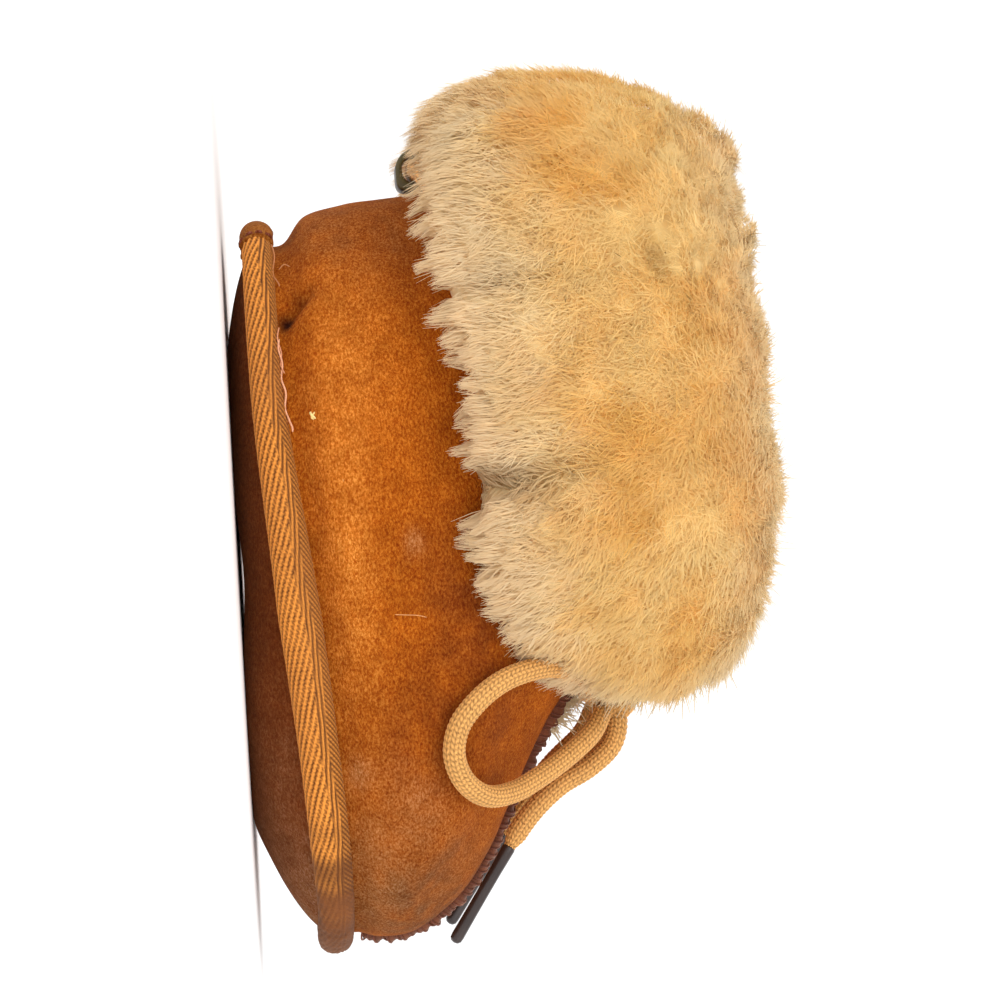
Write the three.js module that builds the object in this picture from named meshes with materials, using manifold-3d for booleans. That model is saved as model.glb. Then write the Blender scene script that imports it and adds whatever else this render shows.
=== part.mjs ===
// Sheepskin bootie: a soft suede shoe with a turned-down wool cuff, tied round the ankle with a lace.
// Millimetres. +X points to the toe, +Y to the shoe's left and +Z up. The floor is z = 0.
// x = 0 is the heel end of the binding tape until the last lines centre the whole shoe.
import * as THREE from "three";
import { mergeVertices } from "three/addons/utils/BufferGeometryUtils.js";
import Module from "manifold-3d";

const wasm = await Module();
wasm.setup();

// Driving dimensions
const LENGTH = 126; // heel to toe, over the binding tape
const BALL_HALF = 28; // half the width of the seam line at the ball
const SHAFT_TOP = 80; // height of the upper's rim, under the fold of the cuff
const WALL = 2.2; // suede with its backing
const GAP = 0.3; // between pieces that meet
const SLIT_FOOT = 49.5; // height of the lower end of the front slit
const TAPE_HALF = 3.6; // half the visible width of the binding tape
const TAPE_STAND = 3.3; // how far the tape stands out of the seam line
const SOLE_THICK = 5.2; // under the foot
const INSOLE_THICK = 3;
const ARCH = 0.8; // lift of the sole between heel and forefoot
const SEAM_HALF = 1.6; // half the width of the raised front seam
const SEAM_STAND = 2.9; // how far it stands out of the suede
const LACE = 3.8; // diameter of the braided lace
const AGLET = 2.2; // diameter of its tips
const AGLET_LENGTH = 18;
const KEEPER_BAND = 1.1; // thickness of the keeper's leather
const KEEPER_WIDTH = 6;
const AROUND = 48; // steps round an outline
const CUFF_SKIP = 2; // steps left open on each side of the cuff's front
const LACE_SIDES = 8;

// Colours
const SUEDE = 0xb85f1b;
const SOLE_SUEDE = 0x834218;
const PATCH_SUEDE = 0x9c5a28;
const INSOLE_WOOL = 0xd9bd92;
const WOOL = 0xecb269;
const TAPE = 0xc97838;
const THREAD = 0x844f29;
const KEEPER_LEATHER = 0x1c1810;
const BRAID = 0xc88a45;
const TIP = 0x3c3432;

// Outlines of the foot and shaft, from the seam line (rise 0) to the rim.
// rear, front and widest are shares of LENGTH, half is a share of BALL_HALF, and the powers round the ends.
const LEVELS = [
  { rise: 0, rear: 0.024, front: 0.968, widest: 0.6, half: 1, heelPower: 2.5, toePower: 2.3 },
  { rise: 4.6, rear: 0.024, front: 0.966, widest: 0.6, half: 1, heelPower: 2.5, toePower: 2.3 },
  { rise: 9, rear: -0.01, front: 0.974, widest: 0.595, half: 1.07, heelPower: 2.5, toePower: 2.3 },
  { rise: 16, rear: -0.022, front: 0.97, widest: 0.58, half: 1.1, heelPower: 2.5, toePower: 2.3 },
  { rise: 23, rear: -0.028, front: 0.944, widest: 0.555, half: 1.085, heelPower: 2.45, toePower: 2.2 },
  { rise: 28, rear: -0.032, front: 0.913, widest: 0.53, half: 1.06, heelPower: 2.4, toePower: 2.1 },
  { rise: 32.5, rear: -0.035, front: 0.869, widest: 0.5, half: 1.03, heelPower: 2.4, toePower: 2.05 },
  { rise: 36, rear: -0.037, front: 0.825, widest: 0.47, half: 1, heelPower: 2.4, toePower: 2 },
  { rise: 40, rear: -0.039, front: 0.775, widest: 0.43, half: 0.97, heelPower: 2.4, toePower: 2 },
  { rise: 44, rear: -0.04, front: 0.725, widest: 0.4, half: 0.945, heelPower: 2.4, toePower: 2 },
  { rise: 48, rear: -0.04, front: 0.683, widest: 0.37, half: 0.925, heelPower: 2.4, toePower: 2.05 },
  { rise: 53, rear: -0.04, front: 0.642, widest: 0.34, half: 0.91, heelPower: 2.4, toePower: 2.1 },
  { rise: 60, rear: -0.04, front: 0.612, widest: 0.31, half: 0.9, heelPower: 2.4, toePower: 2.2 },
  { rise: 70, rear: -0.042, front: 0.597, widest: 0.29, half: 0.9, heelPower: 2.4, toePower: 2.3 },
  { rise: 80, rear: -0.044, front: 0.595, widest: 0.28, half: 0.91, heelPower: 2.4, toePower: 2.3 },
];

// Height of the seam line, which climbs towards the toe. at is a share of LENGTH.
const SEAM_LINE = [
  { at: 0, height: 6 },
  { at: 0.24, height: 6.5 },
  { at: 0.48, height: 9.2 },
  { at: 0.72, height: 11.8 },
  { at: 0.9, height: 13 },
  { at: 1, height: 12.6 },
];

// The cuff at angles from the toe: height of its lower edge and crest, and how far its wool stands out.
const CUFF_STATIONS = [
  { angle: 15, lower: 61.5, crest: 84.5, thick: 8 },
  { angle: 26, lower: 56, crest: 86.5, thick: 10.5 },
  { angle: 42, lower: 47.5, crest: 88.5, thick: 13 },
  { angle: 65, lower: 41.5, crest: 90, thick: 15 },
  { angle: 95, lower: 39.5, crest: 90, thick: 16 },
  { angle: 130, lower: 35, crest: 86.5, thick: 16.2 },
  { angle: 180, lower: 36, crest: 84, thick: 17 },
];

// The outer face of the cuff's section: out is a share of thick, up a share of its height.
const CUFF_FACE = [
  { out: 0.52, up: 0 },
  { out: 0.8, up: 0.03 },
  { out: 0.96, up: 0.17 },
  { out: 1, up: 0.38 },
  { out: 0.96, up: 0.58 },
  { out: 0.8, up: 0.78 },
  { out: 0.5, up: 0.93 },
  { out: 0.12, up: 1 },
];

// Wool locks: tufts that swell from the cuff's face, and rows of hanging locks fused on.
const TUFT = 2.4; // height of a tuft over the hollows beside it
const LOCK_ROWS = [
  { place: 0.24, first: 34, count: 9, length: 11.5 },
  { place: 0.55, first: 24, count: 8, length: 13 },
  { place: 0.86, first: 24, count: 7, length: 12 },
];
// A lock from its root to its tip, as shares of its length and of its width.
const LOCK_PROFILE = [
  { at: -0.35, wide: 0 },
  { at: 0.1, wide: 1 },
  { at: 1, wide: 0 },
];
const LOCK_SIDES = 5;
const LOCK_WIDTH = 4.6; // half the width of a lock
const LOCK_THICK = 3.4; // half its thickness
const LOCK_LIFT = 0.28; // how steeply a lock stands off the face

// The smooth value of a table's column at a place along its key.
function along(table, key, column, at) {
  const last = table.length - 1;
  const found = table.findIndex((row, n) => n > 0 && at <= row[key]);
  const upper = found < 0 ? last : found;
  const slope = (n) => {
    const before = table[Math.max(n - 1, 0)];
    const after = table[Math.min(n + 1, last)];
    return (after[column] - before[column]) / (after[key] - before[key]);
  };
  const [a, b] = [table[upper - 1], table[upper]];
  const span = b[key] - a[key];
  const t = THREE.MathUtils.clamp((at - a[key]) / span, 0, 1);
  const ease = t * t * (3 - 2 * t);
  const lead = t * (1 - t) * (1 - t) * span * slope(upper - 1);
  const trail = t * t * (1 - t) * span * slope(upper);
  return a[column] + (b[column] - a[column]) * ease + lead - trail;
}

const seamHeight = (x) => along(SEAM_LINE, "at", "height", x / LENGTH);
const sharePower = (value, power) => Math.sign(value) * Math.abs(value) ** (2 / power);

// A point of the upper's outer face. Angle 0 is the toe and 90 degrees the shoe's left side.
function skin(angle, rise) {
  const column = (name) => along(LEVELS, "rise", name, rise);
  const [c, s] = [Math.cos(angle), Math.sin(angle)];
  const power = c >= 0 ? column("toePower") : column("heelPower");
  const widest = column("widest");
  const reach = c >= 0 ? column("front") - widest : widest - column("rear");
  const x = LENGTH * (widest + reach * sharePower(c, power));
  const y = BALL_HALF * column("half") * sharePower(s, power);
  return new THREE.Vector3(x, y, rise + seamHeight(x) * (1 - rise / SHAFT_TOP));
}

// The same point moved out along the face's normal.
function skinOut(angle, rise, out) {
  const step = 0.03;
  const [low, high] = [Math.max(rise - 0.5, 0), Math.min(rise + 0.5, SHAFT_TOP)];
  const round = skin(angle + step, rise).sub(skin(angle - step, rise));
  const up = skin(angle, high).sub(skin(angle, low));
  return skin(angle, rise).addScaledVector(round.cross(up).normalize(), out);
}

// A point beside an outline, moved out level with the floor.
function besideOutline(angle, rise, out) {
  const step = 0.03;
  const round = skin(angle + step, rise).sub(skin(angle - step, rise));
  const side = new THREE.Vector3(round.y, -round.x, 0).normalize();
  return skin(angle, rise).addScaledVector(side, out);
}

const turn = (step) => (2 * Math.PI * step) / AROUND;
const closedRing = (point) => Array.from({ length: AROUND }, (_, i) => point(turn(i)));

function geometryOf(points, triangles) {
  const geometry = new THREE.BufferGeometry().setFromPoints(points);
  geometry.setIndex(triangles);
  return geometry;
}

// A solid through closed rings of equal length, from its lower inner ring outwards and up.
// Its two ends are closed across, from each ring's left side to its right.
function ringLoft(rings) {
  const count = rings[0].length;
  const triangles = [];
  const quad = (a, b, c, d) => triangles.push(a, b, c, a, c, d);
  for (let r = 0; r + 1 < rings.length; r++) {
    for (let i = 0; i < count; i++) {
      const j = (i + 1) % count;
      quad(r * count + i, r * count + j, (r + 1) * count + j, (r + 1) * count + i);
    }
  }
  const top = (rings.length - 1) * count;
  for (let i = 0; i < count / 2; i++) {
    const mirrored = (count - i) % count;
    const next = count - i - 1;
    const corners = [mirrored, next, i + 1, i];
    const flat = [...new Set(corners)];
    for (let k = 1; k + 1 < flat.length; k++) {
      triangles.push(flat[0], flat[k], flat[k + 1]);
      triangles.push(top + flat[0], top + flat[k + 1], top + flat[k]);
    }
  }
  return geometryOf(rings.flat(), triangles);
}

// A band round the shoe: sections of equal length, closed on themselves.
function bandLoft(sections, closed) {
  const count = sections[0].length;
  const triangles = [];
  const quad = (a, b, c, d) => triangles.push(a, b, c, a, c, d);
  const spans = closed ? sections.length : sections.length - 1;
  for (let s = 0; s < spans; s++) {
    const next = (s + 1) % sections.length;
    for (let i = 0; i < count; i++) {
      const j = (i + 1) % count;
      quad(s * count + i, next * count + i, next * count + j, s * count + j);
    }
  }
  if (!closed) {
    const end = (sections.length - 1) * count;
    for (const [a, b, c] of THREE.ShapeUtils.triangulateShape(bandOutline(sections[0]), [])) {
      triangles.push(a, b, c);
      triangles.push(end + c, end + b, end + a);
    }
  }
  return geometryOf(sections.flat(), triangles);
}

// A section drawn flat, as distance from its first point and height.
function bandOutline(section) {
  const across = new THREE.Vector3();
  for (const p of section) {
    const way = p.clone().sub(section[0]).setZ(0);
    if (way.length() > across.length()) across.copy(way);
  }
  across.normalize();
  return section.map((p) => new THREE.Vector2(p.clone().sub(section[0]).dot(across), p.z));
}

// A flat shape of [y, z] corners drawn out along X.
function alongX(corners, from, to) {
  const shape = new THREE.Shape(corners.map(([y, z]) => new THREE.Vector2(y, z)));
  const geometry = new THREE.ExtrudeGeometry(shape, { depth: to - from, bevelEnabled: false });
  const axes = new THREE.Matrix4().makeBasis(
    new THREE.Vector3(0, 1, 0),
    new THREE.Vector3(0, 0, 1),
    new THREE.Vector3(1, 0, 0),
  );
  return geometry.applyMatrix4(axes).translate(from, 0, 0);
}

// Joining and cutting
function solid(geometry) {
  const bare = geometry.clone();
  bare.deleteAttribute("normal");
  bare.deleteAttribute("uv");
  const merged = mergeVertices(bare, 1e-4);
  const vertProperties = new Float32Array(merged.attributes.position.array);
  const triVerts = new Uint32Array(merged.index.array);
  return new wasm.Manifold(new wasm.Mesh({ numProp: 3, vertProperties, triVerts }));
}

function geometryFrom(manifold) {
  const mesh = manifold.getMesh();
  const geometry = new THREE.BufferGeometry();
  geometry.setAttribute("position", new THREE.BufferAttribute(new Float32Array(mesh.vertProperties), 3));
  geometry.setIndex(new THREE.BufferAttribute(new Uint32Array(mesh.triVerts), 1));
  return geometry;
}

const bootie = new THREE.Group();

function piece(name, geometry, color, roughness = 0.95) {
  const material = new THREE.MeshStandardMaterial({ color, roughness });
  const mesh = new THREE.Mesh(geometry, material);
  mesh.name = name;
  bootie.add(mesh);
}

// Upper: one wall from the seam line to the rim, cut open by the front slit
const UPPER_RISES = [0, 4.6, 9, 14, 19, 24, 28, 32.5, 36.5, 40.5, 44.5, 49, 54, 61, 70, 80];

// Half the opening of the slit at a height.
const SLIT_TIP = 0.4;
const SLIT_FLARE = 0.3;
const slitHalf = (z) => SLIT_TIP + SLIT_FLARE * (z - SLIT_FOOT);

function slitCorners() {
  const top = SHAFT_TOP + 2;
  const shoulder = SLIT_FOOT + 1;
  return [
    [0, SLIT_FOOT],
    [slitHalf(shoulder), shoulder],
    [slitHalf(top), top],
    [-slitHalf(top), top],
    [-slitHalf(shoulder), shoulder],
  ];
}

// The space inside the upper's face moved out by some distance, up to a rise.
function form(out, rises) {
  return solid(ringLoft(rises.map((rise) => closedRing((angle) => skinOut(angle, rise, out)))));
}

function upper() {
  const outer = UPPER_RISES.map((rise) => closedRing((angle) => skin(angle, rise)));
  const inner = UPPER_RISES.map((rise) => closedRing((angle) => skinOut(angle, rise, -WALL)));
  inner.forEach((ring, r) => ring.forEach((p, i) => (p.z = outer[r][i].z)));
  const wall = bandLoft(closedRing(() => 0).map((_, i) => [
    ...outer.map((ring) => ring[i]),
    ...inner.map((ring) => ring[i]).reverse(),
  ]), true);
  const slit = alongX(slitCorners(), 0.45 * LENGTH, 0.85 * LENGTH);
  return geometryFrom(solid(wall).subtract(solid(slit)));
}

// Front seam: a raised strip between two larger forms of the upper, parting along the slit
const SEAM_TOP = 56; // height where the strip goes under the knot
const SEAM_FOOT = 17.2; // height where it starts, just above the tape

function frontSeam() {
  const rises = UPPER_RISES.filter((rise) => rise > 0 && rise < SHAFT_TOP);
  const skinForm = form(SEAM_STAND, rises).subtract(form(GAP, rises));
  const outside = slitHalf(SEAM_TOP) + 1.3 * SEAM_HALF;
  const stem = [[-SEAM_HALF, SEAM_FOOT], [SEAM_HALF, SEAM_FOOT], [SEAM_HALF, SLIT_FOOT - 3]];
  const arms = [
    [outside, SEAM_TOP],
    [slitHalf(SEAM_TOP) + GAP, SEAM_TOP],
    [0, SLIT_FOOT - 1],
    [-slitHalf(SEAM_TOP) - GAP, SEAM_TOP],
    [-outside, SEAM_TOP],
    [-SEAM_HALF, SLIT_FOOT - 3],
  ];
  const strip = alongX([...stem, ...arms], 0.5 * LENGTH, 1.1 * LENGTH);
  return geometryFrom(skinForm.intersect(solid(strip)));
}

// Sole: a shallow dish that rounds up to the seam line, flat under heel and forefoot
const SOLE_ROUND = { side: 11, heel: 20, toe: 25 }; // how far in the rounding reaches
const SOLE_SHARES = [1, 0.72, 0.45, 0.2, 0]; // rings of the rounding, 1 at the flat and 0 at the seam
const ROUND_POWER = 1.5;
const ARCH_SPAN = [0.35, 0.6]; // where the arch lifts, as shares of LENGTH
const SOLE_RIM = 2.4; // thickness of the dish's rim
const DISH_SHARE = 0.42; // share of the rounding where the dish's floor starts
const BROW_SHARE = 0.25; // share of it that the insole reaches over

function soleRound(angle) {
  const c = Math.cos(angle);
  const end = c > 0 ? SOLE_ROUND.toe : SOLE_ROUND.heel;
  return SOLE_ROUND.side + (end - SOLE_ROUND.side) * c * c;
}

function archLift(x) {
  const t = (x / LENGTH - ARCH_SPAN[0]) / (ARCH_SPAN[1] - ARCH_SPAN[0]);
  return t > 0 && t < 1 ? ARCH * Math.sin(Math.PI * t) ** 2 : 0;
}

function solePoint(angle, share) {
  const p = besideOutline(angle, 0, -soleRound(angle) * share);
  const drop = (1 - (1 - share) ** ROUND_POWER) ** (1 / ROUND_POWER);
  const rim = seamHeight(skin(angle, 0).x) - GAP;
  return p.setZ(rim * (1 - drop) + archLift(p.x) * drop);
}

// Where the dish's floor meets its rim: well inside the rounding.
const dishEdge = (angle) => SOLE_RIM + DISH_SHARE * soleRound(angle);

function outsole() {
  const rings = SOLE_SHARES.map((share) => closedRing((angle) => solePoint(angle, share)));
  const rim = (angle) => besideOutline(angle, 0, -SOLE_RIM).setZ(solePoint(angle, 0).z);
  rings.push(closedRing(rim));
  rings.push(closedRing((angle) => besideOutline(angle, 0, -dishEdge(angle)).setZ(SOLE_THICK)));
  return ringLoft(rings);
}

function insole() {
  const low = SOLE_THICK + GAP;
  const ring = (inset, z) => closedRing((angle) => besideOutline(angle, 0, -inset(angle)).setZ(z));
  const edge = (angle) => dishEdge(angle) + 2 * GAP;
  const brow = (angle) => SOLE_RIM + 1 + BROW_SHARE * soleRound(angle);
  const top = (angle) => brow(angle) + 1;
  return ringLoft([
    ring(edge, low),
    ring(brow, low + 0.8 * INSOLE_THICK),
    ring(top, low + INSOLE_THICK),
  ]);
}

// Binding tape: a rounded band over the seam line, and the patch over its join
const TAPE_SECTION = [
  { out: -0.8, up: -0.92 },
  { out: 1.5, up: -1 },
  { out: 0.88 * TAPE_STAND, up: -0.64 },
  { out: TAPE_STAND, up: 0 },
  { out: 0.88 * TAPE_STAND, up: 0.64 },
  { out: 1.6, up: 1 },
  { out: GAP, up: 0.94 },
  { out: GAP, up: -0.1 },
];

// A section beside the seam line, from [out, up] pairs in millimetres.
function seamSection(angle, pairs) {
  return pairs.map(([out, up]) => {
    const p = besideOutline(angle, 0, out);
    return p.setZ(p.z + up);
  });
}

function bindingTape() {
  const pairs = TAPE_SECTION.map(({ out, up }) => [out, up * TAPE_HALF]);
  return bandLoft(closedRing((angle) => seamSection(angle, pairs)), true);
}

const PATCH_HALF_ANGLE = THREE.MathUtils.degToRad(22);
const PATCH_STEPS = 8;
const PATCH_THICK = 0.9;

function heelPatch() {
  const face = TAPE_SECTION.slice(1, 6);
  const middle = [0.4 * TAPE_STAND, 0];
  const moved = (by) => face.map(({ out, up }) => {
    const way = new THREE.Vector2(out - middle[0], up * TAPE_HALF - middle[1]);
    const far = way.clone().setLength(way.length() + by);
    return [middle[0] + far.x, middle[1] + far.y];
  });
  const pairs = [...moved(GAP + PATCH_THICK), ...moved(GAP + 0.1).reverse()];
  const sections = Array.from({ length: PATCH_STEPS + 1 }, (_, i) => {
    const angle = Math.PI + PATCH_HALF_ANGLE * ((2 * i) / PATCH_STEPS - 1);
    return seamSection(angle, pairs);
  });
  return bandLoft(sections, false);
}

// Cuff: wool folded over the rim, hanging outside the shaft and open at the front
const LACE_ROOM = LACE + 1.2; // between the shaft and the hanging cuff
const ROOM_RISES = [26, 36, 48, 66]; // where that room is cut clear of locks
const RIM_GRIP = 6; // how far the wool reaches down inside the rim
const WOOL_INSIDE = 3.6; // depth of the wool inside the rim
const SHAFT_RISE = 66; // the outline that the hanging wool follows

function cuffStation(angle) {
  const degrees = THREE.MathUtils.radToDeg(Math.PI - Math.abs(Math.PI - angle));
  const column = (name) => along(CUFF_STATIONS, "angle", name, degrees);
  return { lower: column("lower"), crest: column("crest"), thick: column("thick") };
}

// A point beside the shaft at a height, at the upper's own outline there.
function besideShaft(angle, out, z) {
  const foot = Math.min(z, SHAFT_TOP);
  const lift = seamHeight(skin(angle, foot).x);
  const rise = ((foot - lift) * SHAFT_TOP) / (SHAFT_TOP - lift);
  return besideOutline(angle, THREE.MathUtils.clamp(rise, 0, SHAFT_TOP), out).setZ(z);
}

// A point of the cuff's outer face: place runs from its lower edge (0) to its crest (1).
function cuffFace(angle, place, swell = 0) {
  const { lower, crest, thick } = cuffStation(angle);
  const rows = CUFF_FACE.map((row, n) => ({ ...row, place: n / (CUFF_FACE.length - 1) }));
  const out = thick * along(rows, "place", "out", place);
  const up = lower + (crest - lower) * along(rows, "place", "up", place);
  return besideOutline(angle, SHAFT_RISE, out + swell).setZ(up);
}

// Tufts and hollows take turns along the face and round it.
function tuft(step, row) {
  const inner = row > 0 && row < CUFF_FACE.length - 1;
  return inner ? TUFT * ((step + row) % 2 ? 0.5 : -0.5) : 0;
}

function cuffSection(step) {
  const angle = turn(step);
  const { lower, crest } = cuffStation(angle);
  const inside = -WALL - GAP;
  const slot = [
    [inside, SHAFT_TOP - RIM_GRIP],
    [inside, SHAFT_TOP + GAP],
    [GAP, SHAFT_TOP + GAP],
    [GAP, SHAFT_TOP - 2],
    [LACE_ROOM, SHAFT_TOP - 9],
    [LACE_ROOM, lower + 0.14 * (crest - lower)],
  ];
  const roll = [
    [inside - 0.4 * WOOL_INSIDE, crest - 0.6],
    [inside - WOOL_INSIDE, crest - 4],
    [inside - WOOL_INSIDE, SHAFT_TOP - 0.6 * RIM_GRIP],
  ];
  return [
    ...slot.map(([out, z]) => besideShaft(angle, out, z)),
    ...CUFF_FACE.map((_, n) => cuffFace(angle, n / (CUFF_FACE.length - 1), tuft(step, n))),
    ...roll.map(([out, z]) => besideShaft(angle, out, z)),
  ];
}

// One tapering lock of wool, rooted in the face and hanging along it towards the lower edge.
function lock(angle, place, length) {
  const round = cuffFace(angle + 0.05, place).sub(cuffFace(angle - 0.05, place)).normalize();
  const down = cuffFace(angle, place - 0.04).sub(cuffFace(angle, place + 0.04)).normalize();
  const way = down.addScaledVector(down.clone().cross(round), LOCK_LIFT).normalize();
  const across = way.clone().cross(new THREE.Vector3().crossVectors(round, way)).normalize();
  const profile = LOCK_PROFILE.map(({ at, wide }) => new THREE.Vector2(wide, at));
  const shape = new THREE.LatheGeometry(profile, LOCK_SIDES).scale(LOCK_WIDTH, length, LOCK_THICK);
  const axes = new THREE.Matrix4().makeBasis(across, way, across.clone().cross(way));
  return shape.applyMatrix4(axes.setPosition(cuffFace(angle, place)));
}

function cuff() {
  const steps = AROUND - 2 * CUFF_SKIP;
  const sections = Array.from({ length: steps + 1 }, (_, i) => cuffSection(CUFF_SKIP + i));
  let wool = solid(bandLoft(sections, false));
  for (const [r, row] of LOCK_ROWS.entries()) {
    const first = THREE.MathUtils.degToRad(row.first);
    for (let i = 0; i < row.count; i++) {
      const share = (i + 0.5 + 0.2 * Math.sin(7.3 * i + 2.9 * r)) / row.count;
      const angle = first + (Math.PI - first) * share;
      const length = row.length * (1 + 0.14 * Math.cos(3.7 * i + 4.1 * r));
      for (const side of [angle, 2 * Math.PI - angle]) {
        wool = wool.add(solid(lock(side, row.place, length)));
      }
    }
  }
  return geometryFrom(wool.subtract(form(LACE_ROOM, ROOM_RISES)));
}

// Keeper: a leather loop at the heel that holds the lace
const KEEPER_HEIGHT = 34;
const KEEPER_HOLE = LACE / 2 + 0.6;
const KEEPER_HALF = KEEPER_HOLE + KEEPER_BAND;
const KEEPER_OUT = 2 * GAP + KEEPER_HALF; // from the heel to the middle of its hole

function heelLoop() {
  const corner = 0.8;
  const flat = KEEPER_HALF - corner;
  const shape = new THREE.Shape();
  shape.moveTo(KEEPER_HALF, -flat);
  shape.absarc(flat, flat, corner, 0, Math.PI / 2);
  shape.absarc(0, 0, KEEPER_HALF, Math.PI / 2, 1.5 * Math.PI);
  shape.absarc(flat, -flat, corner, 1.5 * Math.PI, 2 * Math.PI);
  const hole = new THREE.Path();
  hole.absarc(0, 0, KEEPER_HOLE, 0, 2 * Math.PI, true);
  shape.holes.push(hole);
  const geometry = new THREE.ExtrudeGeometry(shape, {
    depth: KEEPER_WIDTH,
    bevelEnabled: false,
    curveSegments: 5,
  });
  geometry.rotateX(Math.PI / 2);
  const { x } = besideShaft(Math.PI, KEEPER_OUT, KEEPER_HEIGHT);
  return geometry.translate(x, KEEPER_WIDTH / 2, KEEPER_HEIGHT);
}

// Lace: round the ankle through the keeper, then a bow on the instep.
// Routes are [x, y, z] from the knot outwards, just clear of the suede that they lie on.
const KNOT = { at: [84.6, 0, 63], radii: [4.2, 5.2, 4.6] };
const LACE_FRONT = 66; // height of the ankle run at the front
const RUN_START = THREE.MathUtils.degToRad(17); // where the ankle run turns to the knot
const RUN_POINTS = 24;
const RUN_SWEEP = 0.9; // how early the run climbs from the keeper to the front
const RUN_STEPS = 36; // steps along each cord
const LOOP_STEPS = 21;
const END_STEPS = 9;
const RUN_END = [81.7, 4, 64.5];

const LOOP_RIGHT = [
  [86.8, -4.9, 60.5],
  [89.6, -8, 58.4],
  [92.6, -11.5, 54.2],
  [95.6, -15.8, 48.6],
  [97.6, -20.5, 43],
  [97.2, -25.4, 38.2],
  [94, -29, 34.6],
  [89.5, -30.9, 33.2],
  [85, -31.2, 34.3],
  [81, -30.5, 37.8],
  [78.4, -28.6, 42],
  [77.2, -26, 46.4],
  [77, -22.8, 50.6],
  [78, -19, 54.2],
  [80, -12.8, 57.3],
  [82, -8.2, 58.6],
  [83.2, -4.6, 58.6],
];
const LOOP_LEFT = [
  [86.8, 4.9, 60.5],
  [91, 7.5, 58.6],
  [96, 10, 53.6],
  [101.5, 12, 48.4],
  [105, 15.2, 43.6],
  [105, 20.4, 39.5],
  [101, 25.2, 36.5],
  [95.5, 28, 36],
  [90, 28.3, 38.5],
  [85, 26.3, 43],
  [81.5, 23.3, 48],
  [80, 18.6, 53],
  [80.6, 12.8, 57.2],
  [82, 8.2, 58.6],
  [83.2, 4.6, 58.6],
];
const END_RIGHT = [
  [89, -2.2, 63.5],
  [92.6, -3, 62.2],
  [96, -4.2, 58],
  [98.6, -5.2, 52.8],
  [101.8, -5.8, 48.7],
  [105.4, -6.2, 45.4],
  [108.8, -6.8, 43],
];
const END_LEFT = [
  [89, 2.2, 63.5],
  [92.2, 3.2, 62.4],
  [95.4, 4.4, 58.4],
  [98, 5.2, 53.2],
  [101.2, 5.6, 49],
  [104.9, 5.8, 45.7],
  [108.3, 6.2, 43.3],
];
const AGLET_WAY = [0.82, 0.1, -0.56]; // along the toe, on the shoe's left

const vectors = (points) => points.map((p) => new THREE.Vector3(...p));

function cord(points, diameter, steps) {
  const section = new THREE.Shape();
  section.absarc(0, 0, diameter / 2, 0, 2 * Math.PI);
  const path = new THREE.CatmullRomCurve3(points, false, "centripetal");
  return new THREE.ExtrudeGeometry(section, {
    steps,
    extrudePath: path,
    curveSegments: LACE_SIDES / 2,
    bevelEnabled: false,
  });
}

function laceAnkle() {
  const sideOut = GAP + LACE / 2 + 0.4;
  const points = Array.from({ length: RUN_POINTS + 1 }, (_, i) => {
    const angle = RUN_START + (2 * (Math.PI - RUN_START) * i) / RUN_POINTS;
    const front = (1 + Math.cos(angle)) / 2;
    const climb = front * (1 + RUN_SWEEP * (1 - front));
    const z = KEEPER_HEIGHT + (LACE_FRONT - KEEPER_HEIGHT) * climb;
    return besideShaft(angle, sideOut + (KEEPER_OUT - sideOut) * (1 - front) ** 8, z);
  });
  const [x, y, z] = RUN_END;
  return cord([...vectors([[x, y, z]]), ...points, ...vectors([[x, -y, z]])], LACE, RUN_STEPS);
}

function laceKnot() {
  return new THREE.SphereGeometry(1, 10, 8).scale(...KNOT.radii).translate(...KNOT.at);
}

function aglet(end, side) {
  const way = new THREE.Vector3(AGLET_WAY[0], side * AGLET_WAY[1], AGLET_WAY[2]).normalize();
  const geometry = new THREE.CylinderGeometry(AGLET / 2, AGLET / 2, AGLET_LENGTH, LACE_SIDES);
  const turned = new THREE.Quaternion().setFromUnitVectors(new THREE.Vector3(0, 1, 0), way);
  const middle = new THREE.Vector3(...end).addScaledVector(way, GAP + AGLET_LENGTH / 2);
  return geometry.applyQuaternion(turned).translate(...middle);
}

piece("outsole", outsole(), SOLE_SUEDE);
piece("insole", insole(), INSOLE_WOOL);
piece("upper", upper(), SUEDE);
piece("binding_tape", bindingTape(), TAPE);
piece("heel_patch", heelPatch(), PATCH_SUEDE);
piece("front_seam", frontSeam(), THREAD);
piece("cuff", cuff(), WOOL);
piece("heel_loop", heelLoop(), KEEPER_LEATHER, 0.6);
piece("lace_ankle", laceAnkle(), BRAID);

// The origin is on the floor, under the middle of the shoe without its bow.
const middle = new THREE.Box3().setFromObject(bootie).getCenter(new THREE.Vector3());

piece("lace_knot", laceKnot(), BRAID);
piece("lace_loop_right", cord(vectors(LOOP_RIGHT), LACE, LOOP_STEPS), BRAID);
piece("lace_loop_left", cord(vectors(LOOP_LEFT), LACE, LOOP_STEPS), BRAID);
piece("lace_end_right", cord(vectors(END_RIGHT), LACE, END_STEPS), BRAID);
piece("lace_end_left", cord(vectors(END_LEFT), LACE, END_STEPS), BRAID);
piece("aglet_right", aglet(END_RIGHT.at(-1), -1), TIP, 0.4);
piece("aglet_left", aglet(END_LEFT.at(-1), 1), TIP, 0.4);

bootie.position.set(-middle.x, -middle.y, 0);

export default bootie;
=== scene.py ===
"""Looks of the sheepskin bootie: suede, wool, bound tape, threads and a braided lace.

Shapes are worked out in the design's millimetres, as in the part's source: x = 0 at the heel end of the
tape, +x to the toe, +y to the shoe's left, +z up. piece() moves them into the frame, in metres.
"""
import math

import bpy
import numpy as np
from mathutils import Matrix, Vector


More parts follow.
